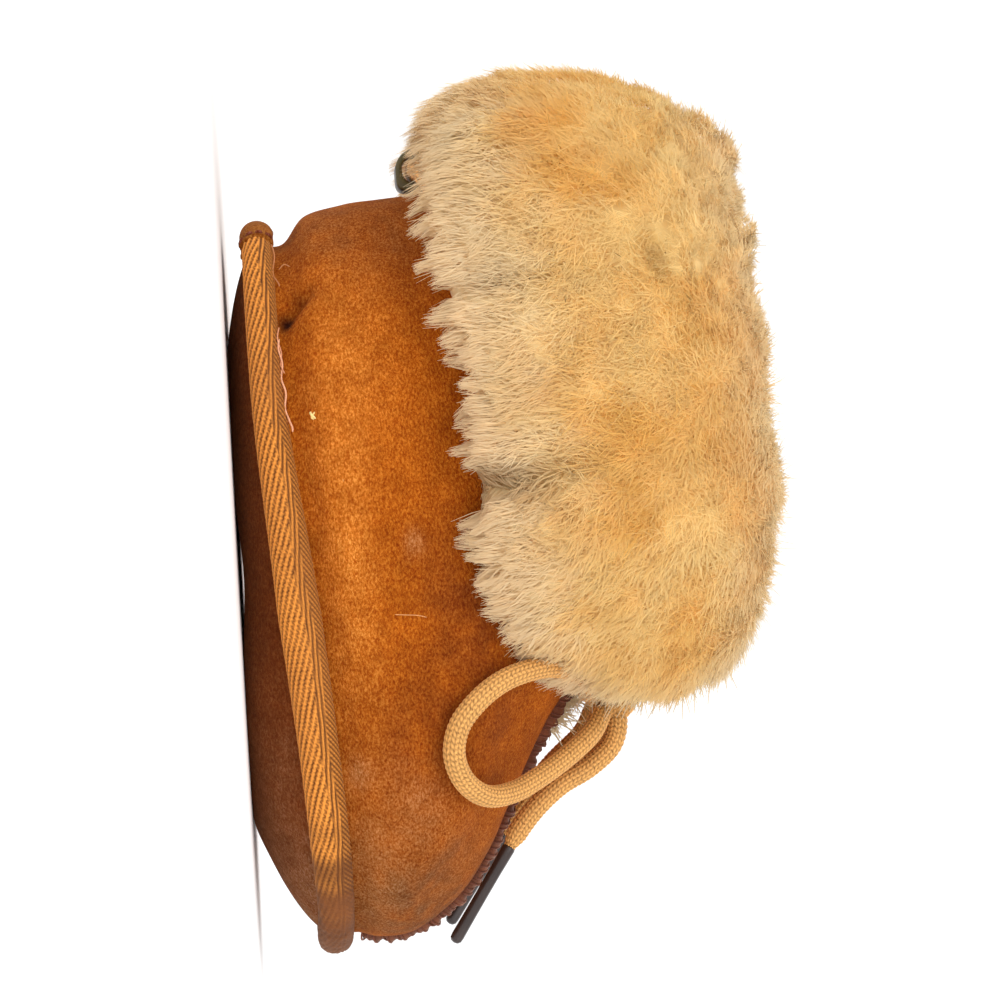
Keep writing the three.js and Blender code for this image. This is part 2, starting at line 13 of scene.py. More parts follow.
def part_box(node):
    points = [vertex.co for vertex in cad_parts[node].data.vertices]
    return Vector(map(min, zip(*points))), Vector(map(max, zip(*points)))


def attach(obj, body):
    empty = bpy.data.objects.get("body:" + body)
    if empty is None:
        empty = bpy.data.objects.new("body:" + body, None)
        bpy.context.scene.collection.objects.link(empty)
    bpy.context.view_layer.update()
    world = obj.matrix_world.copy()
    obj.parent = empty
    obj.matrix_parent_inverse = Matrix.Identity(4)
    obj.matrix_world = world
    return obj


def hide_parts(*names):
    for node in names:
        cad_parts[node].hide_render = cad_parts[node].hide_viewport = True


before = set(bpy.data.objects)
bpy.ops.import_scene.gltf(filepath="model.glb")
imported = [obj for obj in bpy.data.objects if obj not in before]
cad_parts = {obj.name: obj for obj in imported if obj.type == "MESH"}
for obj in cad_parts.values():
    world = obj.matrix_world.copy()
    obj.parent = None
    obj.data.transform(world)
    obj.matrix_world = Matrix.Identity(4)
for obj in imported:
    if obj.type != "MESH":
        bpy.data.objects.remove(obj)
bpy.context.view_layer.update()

# Sizes, the same as in the part's source
LENGTH = 126.0
BALL_HALF = 28.0
SHAFT_TOP = 80.0
WALL = 2.2
GAP = 0.3
SLIT_FOOT = 49.5
TAPE_HALF = 3.6
TAPE_STAND = 3.3
SOLE_THICK = 5.2
LACE = 3.8
AGLET = 2.2
LACE_ROOM = LACE + 1.2
SHAFT_RISE = 66.0
REAR = 0.024
# How far the design moves along x into the frame
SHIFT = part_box("binding_tape")[0][0] * 1000 - (REAR * LENGTH - TAPE_STAND)
# A millimetre in metres, small steps for slopes, and a distance past everything
MM = 0.001
TURN_STEP = 0.03
RISE_STEP = 0.5
FAR = 1e9


def columns_of(names, rows):
    """Rows of numbers as named columns."""
    return dict(zip(names, np.array(rows).T))


LEVELS = columns_of(["rise", "rear", "front", "widest", "half", "heel_power", "toe_power"], [
    [0, 0.024, 0.968, 0.6, 1, 2.5, 2.3],
    [4.6, 0.024, 0.966, 0.6, 1, 2.5, 2.3],
    [9, -0.01, 0.974, 0.595, 1.07, 2.5, 2.3],
    [16, -0.022, 0.97, 0.58, 1.1, 2.5, 2.3],
    [23, -0.028, 0.944, 0.555, 1.085, 2.45, 2.2],
    [28, -0.032, 0.913, 0.53, 1.06, 2.4, 2.1],
    [32.5, -0.035, 0.869, 0.5, 1.03, 2.4, 2.05],
    [36, -0.037, 0.825, 0.47, 1, 2.4, 2],
    [40, -0.039, 0.775, 0.43, 0.97, 2.4, 2],
    [44, -0.04, 0.725, 0.4, 0.945, 2.4, 2],
    [48, -0.04, 0.683, 0.37, 0.925, 2.4, 2.05],
    [53, -0.04, 0.642, 0.34, 0.91, 2.4, 2.1],
    [60, -0.04, 0.612, 0.31, 0.9, 2.4, 2.2],
    [70, -0.042, 0.597, 0.29, 0.9, 2.4, 2.3],
    [80, -0.044, 0.595, 0.28, 0.91, 2.4, 2.3],
])
SEAM_LINE = columns_of(["at", "height"], [
    [0, 6], [0.24, 6.5], [0.48, 9.2], [0.72, 11.8], [0.9, 13], [1, 12.6],
])
# The cuff at angles from the toe, with how far its fringe hangs below its edge
CUFF = columns_of(["angle", "lower", "crest", "thick", "fringe"], [
    [15, 61.5, 84.5, 8, 3],
    [26, 56, 86.5, 10.5, 5.5],
    [42, 47.5, 88.5, 13, 4],
    [65, 41.5, 90, 15, 1],
    [95, 39.5, 90, 16, 0.5],
    [130, 35, 86.5, 16.2, 0.5],
    [180, 36, 84, 17, 0.5],
])
# The cuff's outer face from its lower edge to its crest: shares of its thickness and height
CUFF_FACE = np.array([
    [0.52, 0], [0.8, 0.03], [0.96, 0.17], [1, 0.38], [0.96, 0.58], [0.8, 0.78], [0.5, 0.93], [0.12, 1],
])

# Points along the two loops and the two ends of the lace, and the way of the left tip
LOOP_RIGHT = [
    [86.8, -4.9, 60.5], [89.6, -8, 58.4], [92.6, -11.5, 54.2], [95.6, -15.8, 48.6], [97.6, -20.5, 43],
    [97.2, -25.4, 38.2], [94, -29, 34.6], [89.5, -30.9, 33.2], [85, -31.2, 34.3], [81, -30.5, 37.8],
    [78.4, -28.6, 42], [77.2, -26, 46.4], [77, -22.8, 50.6], [78, -19, 54.2], [80, -12.8, 57.3],
    [82, -8.2, 58.6], [83.2, -4.6, 58.6],
]
LOOP_LEFT = [
    [86.8, 4.9, 60.5], [91, 7.5, 58.6], [96, 10, 53.6], [101.5, 12, 48.4], [105, 15.2, 43.6],
    [105, 20.4, 39.5], [101, 25.2, 36.5], [95.5, 28, 36], [90, 28.3, 38.5], [85, 26.3, 43],
    [81.5, 23.3, 48], [80, 18.6, 53], [80.6, 12.8, 57.2], [82, 8.2, 58.6], [83.2, 4.6, 58.6],
]
END_RIGHT = [
    [86.2, -1.4, 63.2], [89, -2.2, 63.5], [92.6, -3, 62.2], [96, -4.2, 58], [98.6, -5.2, 52.8],
    [101.8, -5.8, 48.7], [105.4, -6.2, 45.4], [108.8, -6.8, 43],
]
END_LEFT = [
    [86.2, 1.4, 63.2], [89, 2.2, 63.5], [92.2, 3.2, 62.4], [95.4, 4.4, 58.4], [98, 5.2, 53.2],
    [101.2, 5.6, 49], [104.9, 5.8, 45.7], [108.3, 6.2, 43.3],
]
TIP_WAY = np.array([0.82, 0.1, -0.56])


# Curves and surfaces
def along(table, key, column, at):
    """The smooth value of a table's column at places along its key."""
    keys = table[key]
    values = table[column]
    at = np.clip(np.asarray(at, float), keys[0], keys[-1])
    upper = np.clip(np.searchsorted(keys, at, side="left"), 1, len(keys) - 1)
    slope = np.gradient(values, keys)
    slope[1:-1] = (values[2:] - values[:-2]) / (keys[2:] - keys[:-2])
    lower = upper - 1
    span = keys[upper] - keys[lower]
    t = (at - keys[lower]) / span
    ease = t * t * (3 - 2 * t)
    lead = t * (1 - t) ** 2 * span * slope[lower]
    trail = t * t * (1 - t) * span * slope[upper]
    return values[lower] + (values[upper] - values[lower]) * ease + lead - trail


def unit(vectors):
    return vectors / np.maximum(np.linalg.norm(vectors, axis=-1, keepdims=True), 1e-12)


def smoothstep(low, high, at):
    t = np.clip((at - low) / (high - low), 0, 1)
    return t * t * (3 - 2 * t)


def seam_height(x):
    return along(SEAM_LINE, "at", "height", x / LENGTH)


def share_power(value, power):
    return np.sign(value) * np.abs(value) ** (2 / power)


def skin(angle, rise):
    """Points of the upper's outer face. Angle 0 is the toe and 90 degrees the shoe's left side."""
    angle, rise = np.broadcast_arrays(np.asarray(angle, float), np.asarray(rise, float))
    level = {name: along(LEVELS, "rise", name, rise) for name in LEVELS}
    c, s = np.cos(angle), np.sin(angle)
    power = np.where(c >= 0, level["toe_power"], level["heel_power"])
    reach = np.where(c >= 0, level["front"] - level["widest"], level["widest"] - level["rear"])
    x = LENGTH * (level["widest"] + reach * share_power(c, power))
    y = BALL_HALF * level["half"] * share_power(s, power)
    return np.stack([x, y, rise + seam_height(x) * (1 - rise / SHAFT_TOP)], -1)


def way_round(angle, rise):
    """The way along an outline, towards greater angles."""
    return skin(angle + TURN_STEP, rise) - skin(angle - TURN_STEP, rise)


def skin_normal(angle, rise):
    """The way out of the upper's face."""
    above = np.minimum(rise + RISE_STEP, SHAFT_TOP)
    below = np.maximum(rise - RISE_STEP, 0)
    return unit(np.cross(way_round(angle, rise), skin(angle, above) - skin(angle, below)))


def level_side(angle, rise):
    """The way out of an outline, level with the floor."""
    around = way_round(angle, rise)
    return unit(np.stack([around[..., 1], -around[..., 0], np.zeros_like(around[..., 0])], -1))


def beside(angle, rise, out, z=None):
    """Points beside an outline, and at a height if one is given."""
    points = skin(angle, rise) + level_side(angle, rise) * np.asarray(out, float)[..., None]
    if z is not None:
        points[..., 2] = z
    return points


def shaft_rise(angle, z):
    """The rise at which the upper's face has a height."""
    foot = np.minimum(z, SHAFT_TOP)
    lift = seam_height(skin(angle, foot)[..., 0])
    return np.clip((foot - lift) * SHAFT_TOP / (SHAFT_TOP - lift), 0, SHAFT_TOP)


def beside_shaft(angle, out, z):
    angle, out, z = np.broadcast_arrays(*(np.asarray(v, float) for v in (angle, out, z)))
    return beside(angle, shaft_rise(angle, z), out, z)


SPAN_STEPS = 24


def even_path(points, step):
    """A smooth curve through points, at even steps."""
    points = np.asarray(points, float)
    padded = np.vstack([2 * points[0] - points[1], points, 2 * points[-1] - points[-2]])
    drawn = []
    for n in range(1, len(padded) - 2):
        p = padded[n - 1:n + 3]
        k = np.concatenate([[0], np.cumsum(np.linalg.norm(np.diff(p, axis=0), axis=1) ** 0.5)])
        t = np.linspace(k[1], k[2], SPAN_STEPS, endpoint=False)[:, None]

        def mix(a, b, low, high):
            return ((high - t) * a + (t - low) * b) / (high - low)

        first = mix(mix(p[0], p[1], k[0], k[1]), mix(p[1], p[2], k[1], k[2]), k[0], k[2])
        second = mix(mix(p[1], p[2], k[1], k[2]), mix(p[2], p[3], k[2], k[3]), k[1], k[3])
        drawn.append(mix(first, second, k[1], k[2]))
    return evenly(np.vstack(drawn + [padded[-2:-1]]), step)


def lengths_along(line):
    return np.concatenate([[0], np.cumsum(np.linalg.norm(np.diff(line, axis=0), axis=1))])


def on_line(values, place, wanted):
    """Values that go with places along a line, read at other places."""
    return np.stack([np.interp(wanted, place, values[:, k]) for k in range(3)], -1)


def evenly(line, step):
    """A line drawn again with even steps."""
    place = lengths_along(line)
    wanted = np.linspace(0, place[-1], max(int(round(place[-1] / step)), 2) + 1)
    return on_line(line, place, wanted)


def carried_frames(path):
    """Side and lift vectors along a path that turn as little as they can."""
    ways = unit(np.gradient(path, axis=0))
    start = np.array([0, 0, 1.0]) if abs(ways[0][2]) < 0.9 else np.array([0, 1.0, 0])
    sides = [unit(np.cross(ways[0], start))]
    for way in ways[1:]:
        last = sides[-1]
        sides.append(unit(last - way * np.dot(last, way)))
    sides = np.array(sides)
    return sides, np.cross(sides, ways)


# Noise that is the same on each run
CELLS = 32
LATTICE = np.random.default_rng(11).random((CELLS,) * 3)


def noise(points, size, seed):
    """Smooth noise from -1 to 1 with features of a size in millimetres."""
    at = np.asarray(points, float) / size + 7.3 * seed
    base = np.floor(at).astype(int)
    f = at - base
    f = f * f * (3 - 2 * f)
    total = 0
    for corner in np.ndindex(2, 2, 2):
        weight = np.prod([f[..., k] if corner[k] else 1 - f[..., k] for k in range(3)], axis=0)
        cell = [(base[..., k] + corner[k] + 5 * seed) % CELLS for k in range(3)]
        total = total + weight * LATTICE[tuple(cell)]
    return 2 * total - 1


# Meshes
def grid_faces(rows, columns, closed_rows=False, closed_columns=False):
    """Quads of a grid of points, row after row."""
    r = np.arange(rows if closed_rows else rows - 1)
    c = np.arange(columns if closed_columns else columns - 1)
    r, c = np.meshgrid(r, c, indexing="ij")
    r2, c2 = (r + 1) % rows, (c + 1) % columns
    quads = np.stack([r * columns + c, r * columns + c2, r2 * columns + c2, r2 * columns + c], -1)
    return quads.reshape(-1, 4)


def loft(rings, middles=None):
    """Points and faces of a tube through rings of points, with its two ends closed by fans."""
    rings = np.asarray(rings)
    rows, columns = rings.shape[:2]
    if middles is None:
        middles = [rings[0].mean(0), rings[-1].mean(0)]
    points = np.vstack([rings.reshape(-1, 3), *middles])
    index = np.arange(columns)
    after = (index + 1) % columns
    low = np.stack([np.full(columns, rows * columns), after, index], -1)
    end = (rows - 1) * columns
    high = np.stack([np.full(columns, rows * columns + 1), end + index, end + after], -1)
    return points, [grid_faces(rows, columns, closed_columns=True), low, high]


def linear(red, green, blue):
    """A colour as read from a screen, for the shaders."""
    c = np.array([red, green, blue]) / 255
    return np.where(c <= 0.04045, c / 12.92, ((c + 0.055) / 1.055) ** 2.4)


def to_frame(points):
    """Places in the design's millimetres as metres in the frame."""
    return (np.asarray(points) + [SHIFT, 0, 0]) * MM


def piece(name, points, faces, material, tones=None, stands_for=(), cells=None, normals=None):
    """One visible piece from points in the design's millimetres, riding on the shoe."""
    mesh = bpy.data.meshes.new(name)
    places = to_frame(points).reshape(-1, 3)
    loops = np.concatenate([np.asarray(part).ravel() for part in faces]).astype(np.int32)
    sizes = np.concatenate([np.full(len(part), np.shape(part)[1]) for part in faces])
    starts = np.concatenate([[0], np.cumsum(sizes)[:-1]]).astype(np.int32)
    mesh.vertices.add(len(places))
    mesh.vertices.foreach_set("co", places.astype(np.float32).ravel())
    mesh.loops.add(len(loops))
    mesh.loops.foreach_set("vertex_index", loops)
    mesh.polygons.add(len(starts))
    mesh.polygons.foreach_set("loop_start", starts)
    mesh.update(calc_edges=True)
    mesh.validate()
    mesh.polygons.foreach_set("use_smooth", np.ones(len(mesh.polygons), bool))
    if tones is not None:
        layer = mesh.color_attributes.new("tone", "FLOAT_COLOR", "POINT")
        colours = np.ones((len(places), 4), np.float32)
        colours[:, :3] = np.broadcast_to(np.asarray(tones).reshape(-1, 3), (len(places), 3))
        layer.data.foreach_set("color", colours.ravel())
    if cells is not None:
        layer = mesh.uv_layers.new(name="OFBake")
        layer.uv.foreach_set("vector", cells[loops].astype(np.float32).ravel())
    if normals is not None:
        layer = mesh.attributes.new("custom_normal", "FLOAT_VECTOR", "POINT")
        layer.data.foreach_set("vector", normals.astype(np.float32).ravel())
    mesh.materials.append(material)
    thing = bpy.data.objects.new(name, mesh)
    bpy.context.scene.collection.objects.link(thing)
    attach(thing, "root")
    if stands_for:
        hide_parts(*stands_for)
    return thing


# Shaders
def new_shader(name, roughness, specular, sheen=0.0, sheen_tint=(1, 1, 1)):
    material = bpy.data.materials.new(name)
    material.use_nodes = True
    bsdf = material.node_tree.nodes["Principled BSDF"]
    bsdf.inputs["Roughness"].default_value = roughness
    bsdf.inputs["Specular IOR Level"].default_value = specular
    bsdf.inputs["Sheen Weight"].default_value = sheen
    bsdf.inputs["Sheen Tint"].default_value = (*sheen_tint, 1)
    return material, material.node_tree, bsdf


def noise_node(tree, size, detail, roughness, distortion=0.0, stretch=None):
    """A noise texture with features of a size in millimetres."""
    place = tree.nodes.new("ShaderNodeTexCoord")
    texture = tree.nodes.new("ShaderNodeTexNoise")
    texture.inputs["Scale"].default_value = 1000 / size
    texture.inputs["Detail"].default_value = detail
    texture.inputs["Roughness"].default_value = roughness
    texture.inputs["Distortion"].default_value = distortion
    source = place.outputs["Object"]
    if stretch:
        mapping = tree.nodes.new("ShaderNodeMapping")
        mapping.inputs["Scale"].default_value = stretch
        tree.links.new(source, mapping.inputs["Vector"])
        source = mapping.outputs["Vector"]
    tree.links.new(source, texture.inputs["Vector"])
    return texture.outputs["Fac"]


def ramp(tree, source, stops):
    """A colour ramp from [place, (r, g, b)] stops."""
    made = tree.nodes.new("ShaderNodeValToRGB")
    elements = made.color_ramp.elements
    while len(elements) < len(stops):
        elements.new(0.5)
    for element, (place, colour) in zip(elements, stops):
        element.position = place
        element.color = (*colour, 1)
    tree.links.new(source, made.inputs["Fac"])
    return made.outputs["Color"]


def times(tree, a, b):
    """Two colours multiplied."""
    mix = tree.nodes.new("ShaderNodeMix")
    mix.data_type = "RGBA"
    mix.blend_type = "MULTIPLY"
    mix.inputs["Factor"].default_value = 1
    tree.links.new(a, mix.inputs["A"])
    tree.links.new(b, mix.inputs["B"])
    return mix.outputs["Result"]


def tone_of(tree):
    """The tones that each piece carries at its points."""
    made = tree.nodes.new("ShaderNodeAttribute")
    made.attribute_name = "tone"
    return made.outputs["Color"]


def bump(tree, bsdf, source, depth, strength, under=None):
    """Relief of a depth in millimetres, on top of another relief if one is given."""
    made = tree.nodes.new("ShaderNodeBump")
    made.inputs["Strength"].default_value = strength
    made.inputs["Distance"].default_value = depth * MM
    tree.links.new(source, made.inputs["Height"])
    if under is not None:
        tree.links.new(under, made.inputs["Normal"])
    tree.links.new(made.outputs["Normal"], bsdf.inputs["Normal"])
    return made.outputs["Normal"]


def suede_shader(name, contrast, grain, sheen):
    """Napped leather: the piece's own tones under a fine worm-like nap and soft patches."""
    material, tree, bsdf = new_shader(name, 0.92, 0.07, sheen, (1, 0.7, 0.42))
    nap = noise_node(tree, grain, 4, 0.75, 0.4, (0.62, 1, 1))
    patch = noise_node(tree, 3.2, 3, 0.6)
    low = tuple(1 - contrast * k for k in (0.75, 1.15, 1.5))
    high = tuple(1 + contrast * k for k in (0.85, 1.8, 5.0))
    fine = ramp(tree, nap, [[0.37, low], [0.5, (1, 1, 1)], [0.63, high]])
    broad = ramp(tree, patch, [[0.3, (0.84, 0.8, 0.72)], [0.7, (1.12, 1.16, 1.24)]])
    colour = times(tree, times(tree, tone_of(tree), fine), broad)
    tree.links.new(colour, bsdf.inputs["Base Color"])
    under = bump(tree, bsdf, patch, 0.25, 0.4)
    bump(tree, bsdf, nap, 0.35, 0.8, under)
    return material


def fibre_shader(name, roughness, specular, sheen, grain, contrast):
    """Spun or braided yarn: the piece's own tones with fine uneven fibres."""
    material, tree, bsdf = new_shader(name, roughness, specular, sheen, (1, 0.85, 0.65))
    fibres = noise_node(tree, grain, 2, 0.6, 0.4)
    low, high = 1 - contrast, 1 + contrast
    fine = ramp(tree, fibres, [[0.3, (low, low, low)], [0.7, (high, high, high)]])
    tree.links.new(times(tree, tone_of(tree), fine), bsdf.inputs["Base Color"])
    bump(tree, bsdf, fibres, 0.08, 0.6)
    return material


def wool_shader(name, through):
    """Wool fibres: the piece's own tones, with a share of light that shines through."""
    material, tree, bsdf = new_shader(name, 0.85, 0.06, 0.12, (1, 0.88, 0.7))
    patches = ramp(tree, noise_node(tree, 1.8, 2, 0.6), [[0.3, (0.97,) * 3], [0.7, (1.03,) * 3]])
    colour = times(tree, tone_of(tree), patches)
    tree.links.new(colour, bsdf.inputs["Base Color"])
    behind = tree.nodes.new("ShaderNodeBsdfTranslucent")
    tree.links.new(colour, behind.inputs["Color"])
    both = tree.nodes.new("ShaderNodeMixShader")
    both.inputs["Fac"].default_value = through
    tree.links.new(bsdf.outputs["BSDF"], both.inputs[1])
    tree.links.new(behind.outputs["BSDF"], both.inputs[2])
    tree.links.new(both.outputs["Shader"], tree.nodes["Material Output"].inputs["Surface"])
    return material


SUEDE = suede_shader("suede", 0.52, 0.34, 0.03)
SOLE_SUEDE = suede_shader("sole_suede", 0.45, 0.38, 0.04)
WOOL = fibre_shader("wool", 0.85, 0.06, 0.15, 1.6, 0.03)
WOOL_FIBRES = wool_shader("wool_fibres", 0.44)
BRAID = fibre_shader("braid", 0.62, 0.25, 0.08, 0.35, 0.12)
WEAVE = fibre_shader("weave", 0.75, 0.2, 0.06, 0.3, 0.16)
THREAD = fibre_shader("thread", 0.6, 0.3, 0.2, 0.3, 0.2)
LEATHER = fibre_shader("keeper_leather", 0.45, 0.4, 0.05, 0.5, 0.18)
PLASTIC = fibre_shader("tip_plastic", 0.32, 0.5, 0.0, 0.9, 0.08)


# Camera at the photo's angle: rolled so that the shoe's up is to the right, and down at the floor
TILT = math.radians(3.2)
AIM = Vector((-0.001, 0.0, 0.0455))
CAMERA_AT = Vector((-0.004, -0.45, 0.0075))
VIEW_HALF = 0.0868
SENSOR = 36

camera = bpy.data.objects.new("camera", bpy.data.cameras.new("camera"))
bpy.context.scene.collection.objects.link(camera)
back = (CAMERA_AT - AIM).normalized()
right = Vector((math.sin(TILT), 0, math.cos(TILT)))
right = (right - back * right.dot(back)).normalized()
above = back.cross(right)
turned = Matrix((right, above, back)).transposed().to_4x4()
camera.matrix_world = Matrix.Translation(CAMERA_AT) @ turned
camera.data.sensor_width = SENSOR
camera.data.lens = SENSOR / 2 * (CAMERA_AT - AIM).length / VIEW_HALF
camera.data.clip_start = 0.005
bpy.context.scene.camera = camera


# Laces: round braids that lie where the part's cords are
YARN_COLUMNS = 16
YARN_PITCH = 0.85


def braid_height(turns, length):
    """Height from 0 to 1 of a round braid, and which yarns slant forward. Its columns read as Vs."""
    u = turns * YARN_COLUMNS
    column = np.floor(u)
    across = u - column - 0.5
    slant = np.where(column % 2 == 0, 1, -1)
    yarn = length / YARN_PITCH + 0.62 * slant * across
    crown = np.abs(np.cos(math.pi * yarn)) ** 0.7
    groove = 1 - 0.55 * np.abs(2 * across) ** 4
    return crown * groove, slant > 0


# The lace's lit colour, and a painted shade for the grooves between its yarns
LACE_LIT = linear(246, 182, 102)
LACE_GROOVE_SHADE = linear(92, 52, 18)


def braid(name, node, points, sides=48, step=0.25, narrow=0.0):
    """A braided tube along points, for a node. Narrow is how far its far end tapers to the tip."""
    path = even_path(points, step)
    sides_way, lifts = carried_frames(path)
    place = lengths_along(path)
    turns = np.arange(sides) / sides
    height, forward = braid_height(turns[None, :], place[:, None])
    radius = np.full(len(path), LACE / 2)
    if narrow:
        far = smoothstep(0, narrow, place[-1] - place)
        radius = AGLET / 2 + (LACE / 2 - AGLET / 2) * far
    out = radius[:, None] - 0.32 + 0.3 * height
    angles = 2 * math.pi * turns[None, :, None]
    ring = sides_way[:, None] * np.cos(angles) + lifts[:, None] * np.sin(angles)
    body = path[:, None] + ring * out[..., None]
    # Painted shade: the braid's grooves darker than its crowns, and the yarns that slant back a little
    # darker
    tones = LACE_GROOVE_SHADE + (LACE_LIT - LACE_GROOVE_SHADE) * (height[..., None] ** 0.8)
    tones = tones * np.where(forward, 1.0, 0.93)[..., None]
    tones = tones * (1 + 0.06 * noise(body, 3.0, 4))[..., None]
    points, faces = loft(body, [path[0], path[-1]])
    tones = np.vstack([tones.reshape(-1, 3), LACE_GROOVE_SHADE, LACE_GROOVE_SHADE])
    return piece(name, points, faces, BRAID, tones, [node]), path


TIP_TONE = linear(46, 32, 28)
# The tip's outline: how far along, and its share of the tip's width
TIP_PROFILE = [
    [-0.8, 0.95], [-0.4, 1.06], [1.2, 1.03], [4, 0.97], [9, 0.95], [14, 0.97],
    [16.6, 1.0], [17.4, 0.93], [17.85, 0.6], [18, 0.15],
]


def aglet(side, sign, end):
    """A shrunk plastic tip: a tube that narrows a little to a rounded end."""
    way = unit(TIP_WAY * [1, sign, 1])
    across = unit(np.cross(way, [0, 0, 1.0]))
    lift = np.cross(across, way)
    angles = np.linspace(0, 2 * math.pi, 24, endpoint=False)
    ring = np.outer(np.cos(angles), across) + np.outer(np.sin(angles), lift)
    rings = []
    for length, share in TIP_PROFILE:
        rings.append(np.array(end) + way * (GAP + length) + ring * share * AGLET / 2)
    points, faces = loft(rings)
    tones = TIP_TONE * (1 + 0.2 * noise(points, 2.5, 6))[:, None]
    return piece("lace_tip_" + side, points, faces, PLASTIC, tones, ["aglet_" + side])


# The knot: the lace goes round the bundle and tucks under itself
KNOT_AT = np.array([84.6, 0, 63.0])
KNOT_SIZE = np.array([2.35, 2.3, 2.6])
KNOT_FROM = math.radians(-60)
KNOT_TURN = math.radians(400)


def knot_path():
    t = np.linspace(0, 1, 22)
    around = KNOT_FROM + t * KNOT_TURN
    return KNOT_AT + KNOT_SIZE * np.stack([np.cos(around), 2 * t - 1, np.sin(around)], -1)


knot, _ = braid("lace_knot_wrap", "lace_knot", knot_path(), 36, 0.3)
BOW = [["right", -1, LOOP_RIGHT, END_RIGHT], ["left", 1, LOOP_LEFT, END_LEFT]]
loops = [braid("lace_bow_" + side, "lace_loop_" + side, points) for side, _, points, _ in BOW]
tails = [braid("lace_tail_" + side, "lace_end_" + side, points, narrow=3.2) for side, _, _, points in BOW]
tips = [aglet(side, sign, points[-1]) for side, sign, _, points in BOW]


# The run of the lace round the ankle
KEEPER_HEIGHT = 34.0
KEEPER_OUT = 2 * GAP + LACE / 2 + 0.6 + 1.1
RUN_END = [81.7, 4, 64.5]
RUN_FRONT = math.radians(17)
RUN_TOP = 66.0


def ankle_points():
    """The run round the ankle: low through the keeper, high at the knot."""
    angle = np.linspace(RUN_FRONT, 2 * math.pi - RUN_FRONT, 25)
    front = (1 + np.cos(angle)) / 2
    z = KEEPER_HEIGHT + (RUN_TOP - KEEPER_HEIGHT) * front * (1 + 0.9 * (1 - front))
    side = GAP + LACE / 2 + 0.4
    points = beside_shaft(angle, side + (KEEPER_OUT - side) * (1 - front) ** 8, z)
    x, y, z = RUN_END
    return np.vstack([[[x, y, z]], points, [[x, -y, z]]])


braid("lace_ankle_run", "lace_ankle", ankle_points(), 24, 0.7)


# Round outlines at even steps of their length
def even_angles(rise, out, count):
    """Angles once round from the toe, evenly spaced along an outline, and its length."""
    fine = np.linspace(0, 2 * math.pi, 4001)
    place = lengths_along(beside(fine, rise, out))
    return np.interp(np.linspace(0, place[-1], count, endpoint=False), place, fine), place[-1]


# Upper: the suede wall, with listed creases and marks of wear, a painted highlight and painted shade
# Creases: side, line of [x, z], depth (out is positive) and half width
CREASES = [
    [-1, [[84, 45], [95, 42], [106, 36.5], [115, 29]], -0.9, 3.2],
    [-1, [[86, 39], [97, 36], [107, 30], [112, 24]], 0.5, 4],
    [-1, [[60, 43], [70, 32], [78, 22]], -0.7, 5],
    [-1, [[24, 16.5], [50, 18], [75, 20.5], [98, 22]], 0.9, 4.5],
    [-1, [[18.4, 9.4], [15.8, 11.3], [12.8, 13.8]], -1.5, 1.0],
    [-1, [[21, 11.4], [18, 13.4], [15, 16]], 0.7, 1.5],
    [-1, [[9, 41], [5, 31], [4, 22]], -0.6, 4],
    [-1, [[36, 44], [40, 34], [37, 25]], -0.5, 5],
    [1, [[83, 45], [96, 41.5], [108, 35], [116, 27]], -0.9, 3.4],
    [1, [[58, 44], [66, 33], [73, 24]], -0.8, 4.5],
    [1, [[22, 17], [48, 18], [72, 20], [96, 22]], 0.9, 4.5],
    [1, [[30, 14], [27, 17.5], [26, 22]], -0.8, 1.6],
    [1, [[12, 40], [8, 30], [9, 23]], -0.6, 4],
    [1, [[40, 45], [45, 35], [43, 26]], -0.5, 5],
]


def distance_to(line, points):
    """How far points lie from a line, in the side view."""
    line = np.asarray(line, float)
    flat = points[..., [0, 2]]
    best = np.full(flat.shape[:-1], FAR)
    for a, b in zip(line[:-1], line[1:]):
        share = np.clip(((flat - a) @ (b - a)) / ((b - a) @ (b - a)), 0, 1)
        best = np.minimum(best, np.linalg.norm(flat - a - share[..., None] * (b - a), axis=-1))
    return best


def wear_relief(points):
    """Creases, the small gathers over the tape and soft unevenness, as a move out of the face."""
    total = 0.22 * noise(points, 13, 1) + 0.1 * noise(points, 5, 2)
    for side, line, depth, half in CREASES:
        near = distance_to(line, points) / half
        total = total + np.where(points[..., 1] * side > 0, depth * np.exp(-near**2), 0)
    over = points[..., 2] - seam_height(points[..., 0]) - TAPE_HALF
    gather = np.sin(points[..., 0] * 1.15 + 2.2 * noise(points, 9, 3))
    gather = gather * (0.6 + 0.4 * noise(points, 11, 5))
    return total + 0.2 * gather * np.exp(-np.maximum(over, 0) / 3.5)


CHESTNUT = linear(170, 84, 13)
DUST = linear(120, 70, 32)
# A painted highlight along the top of the tape
PAINTED_HIGHLIGHT = linear(204, 116, 36)
SHADE = linear(118, 52, 10)
RUBBED = linear(206, 144, 84)
# Painted shade in the pinched creases over the tape
CREASE_SHADE = linear(56, 20, 10)
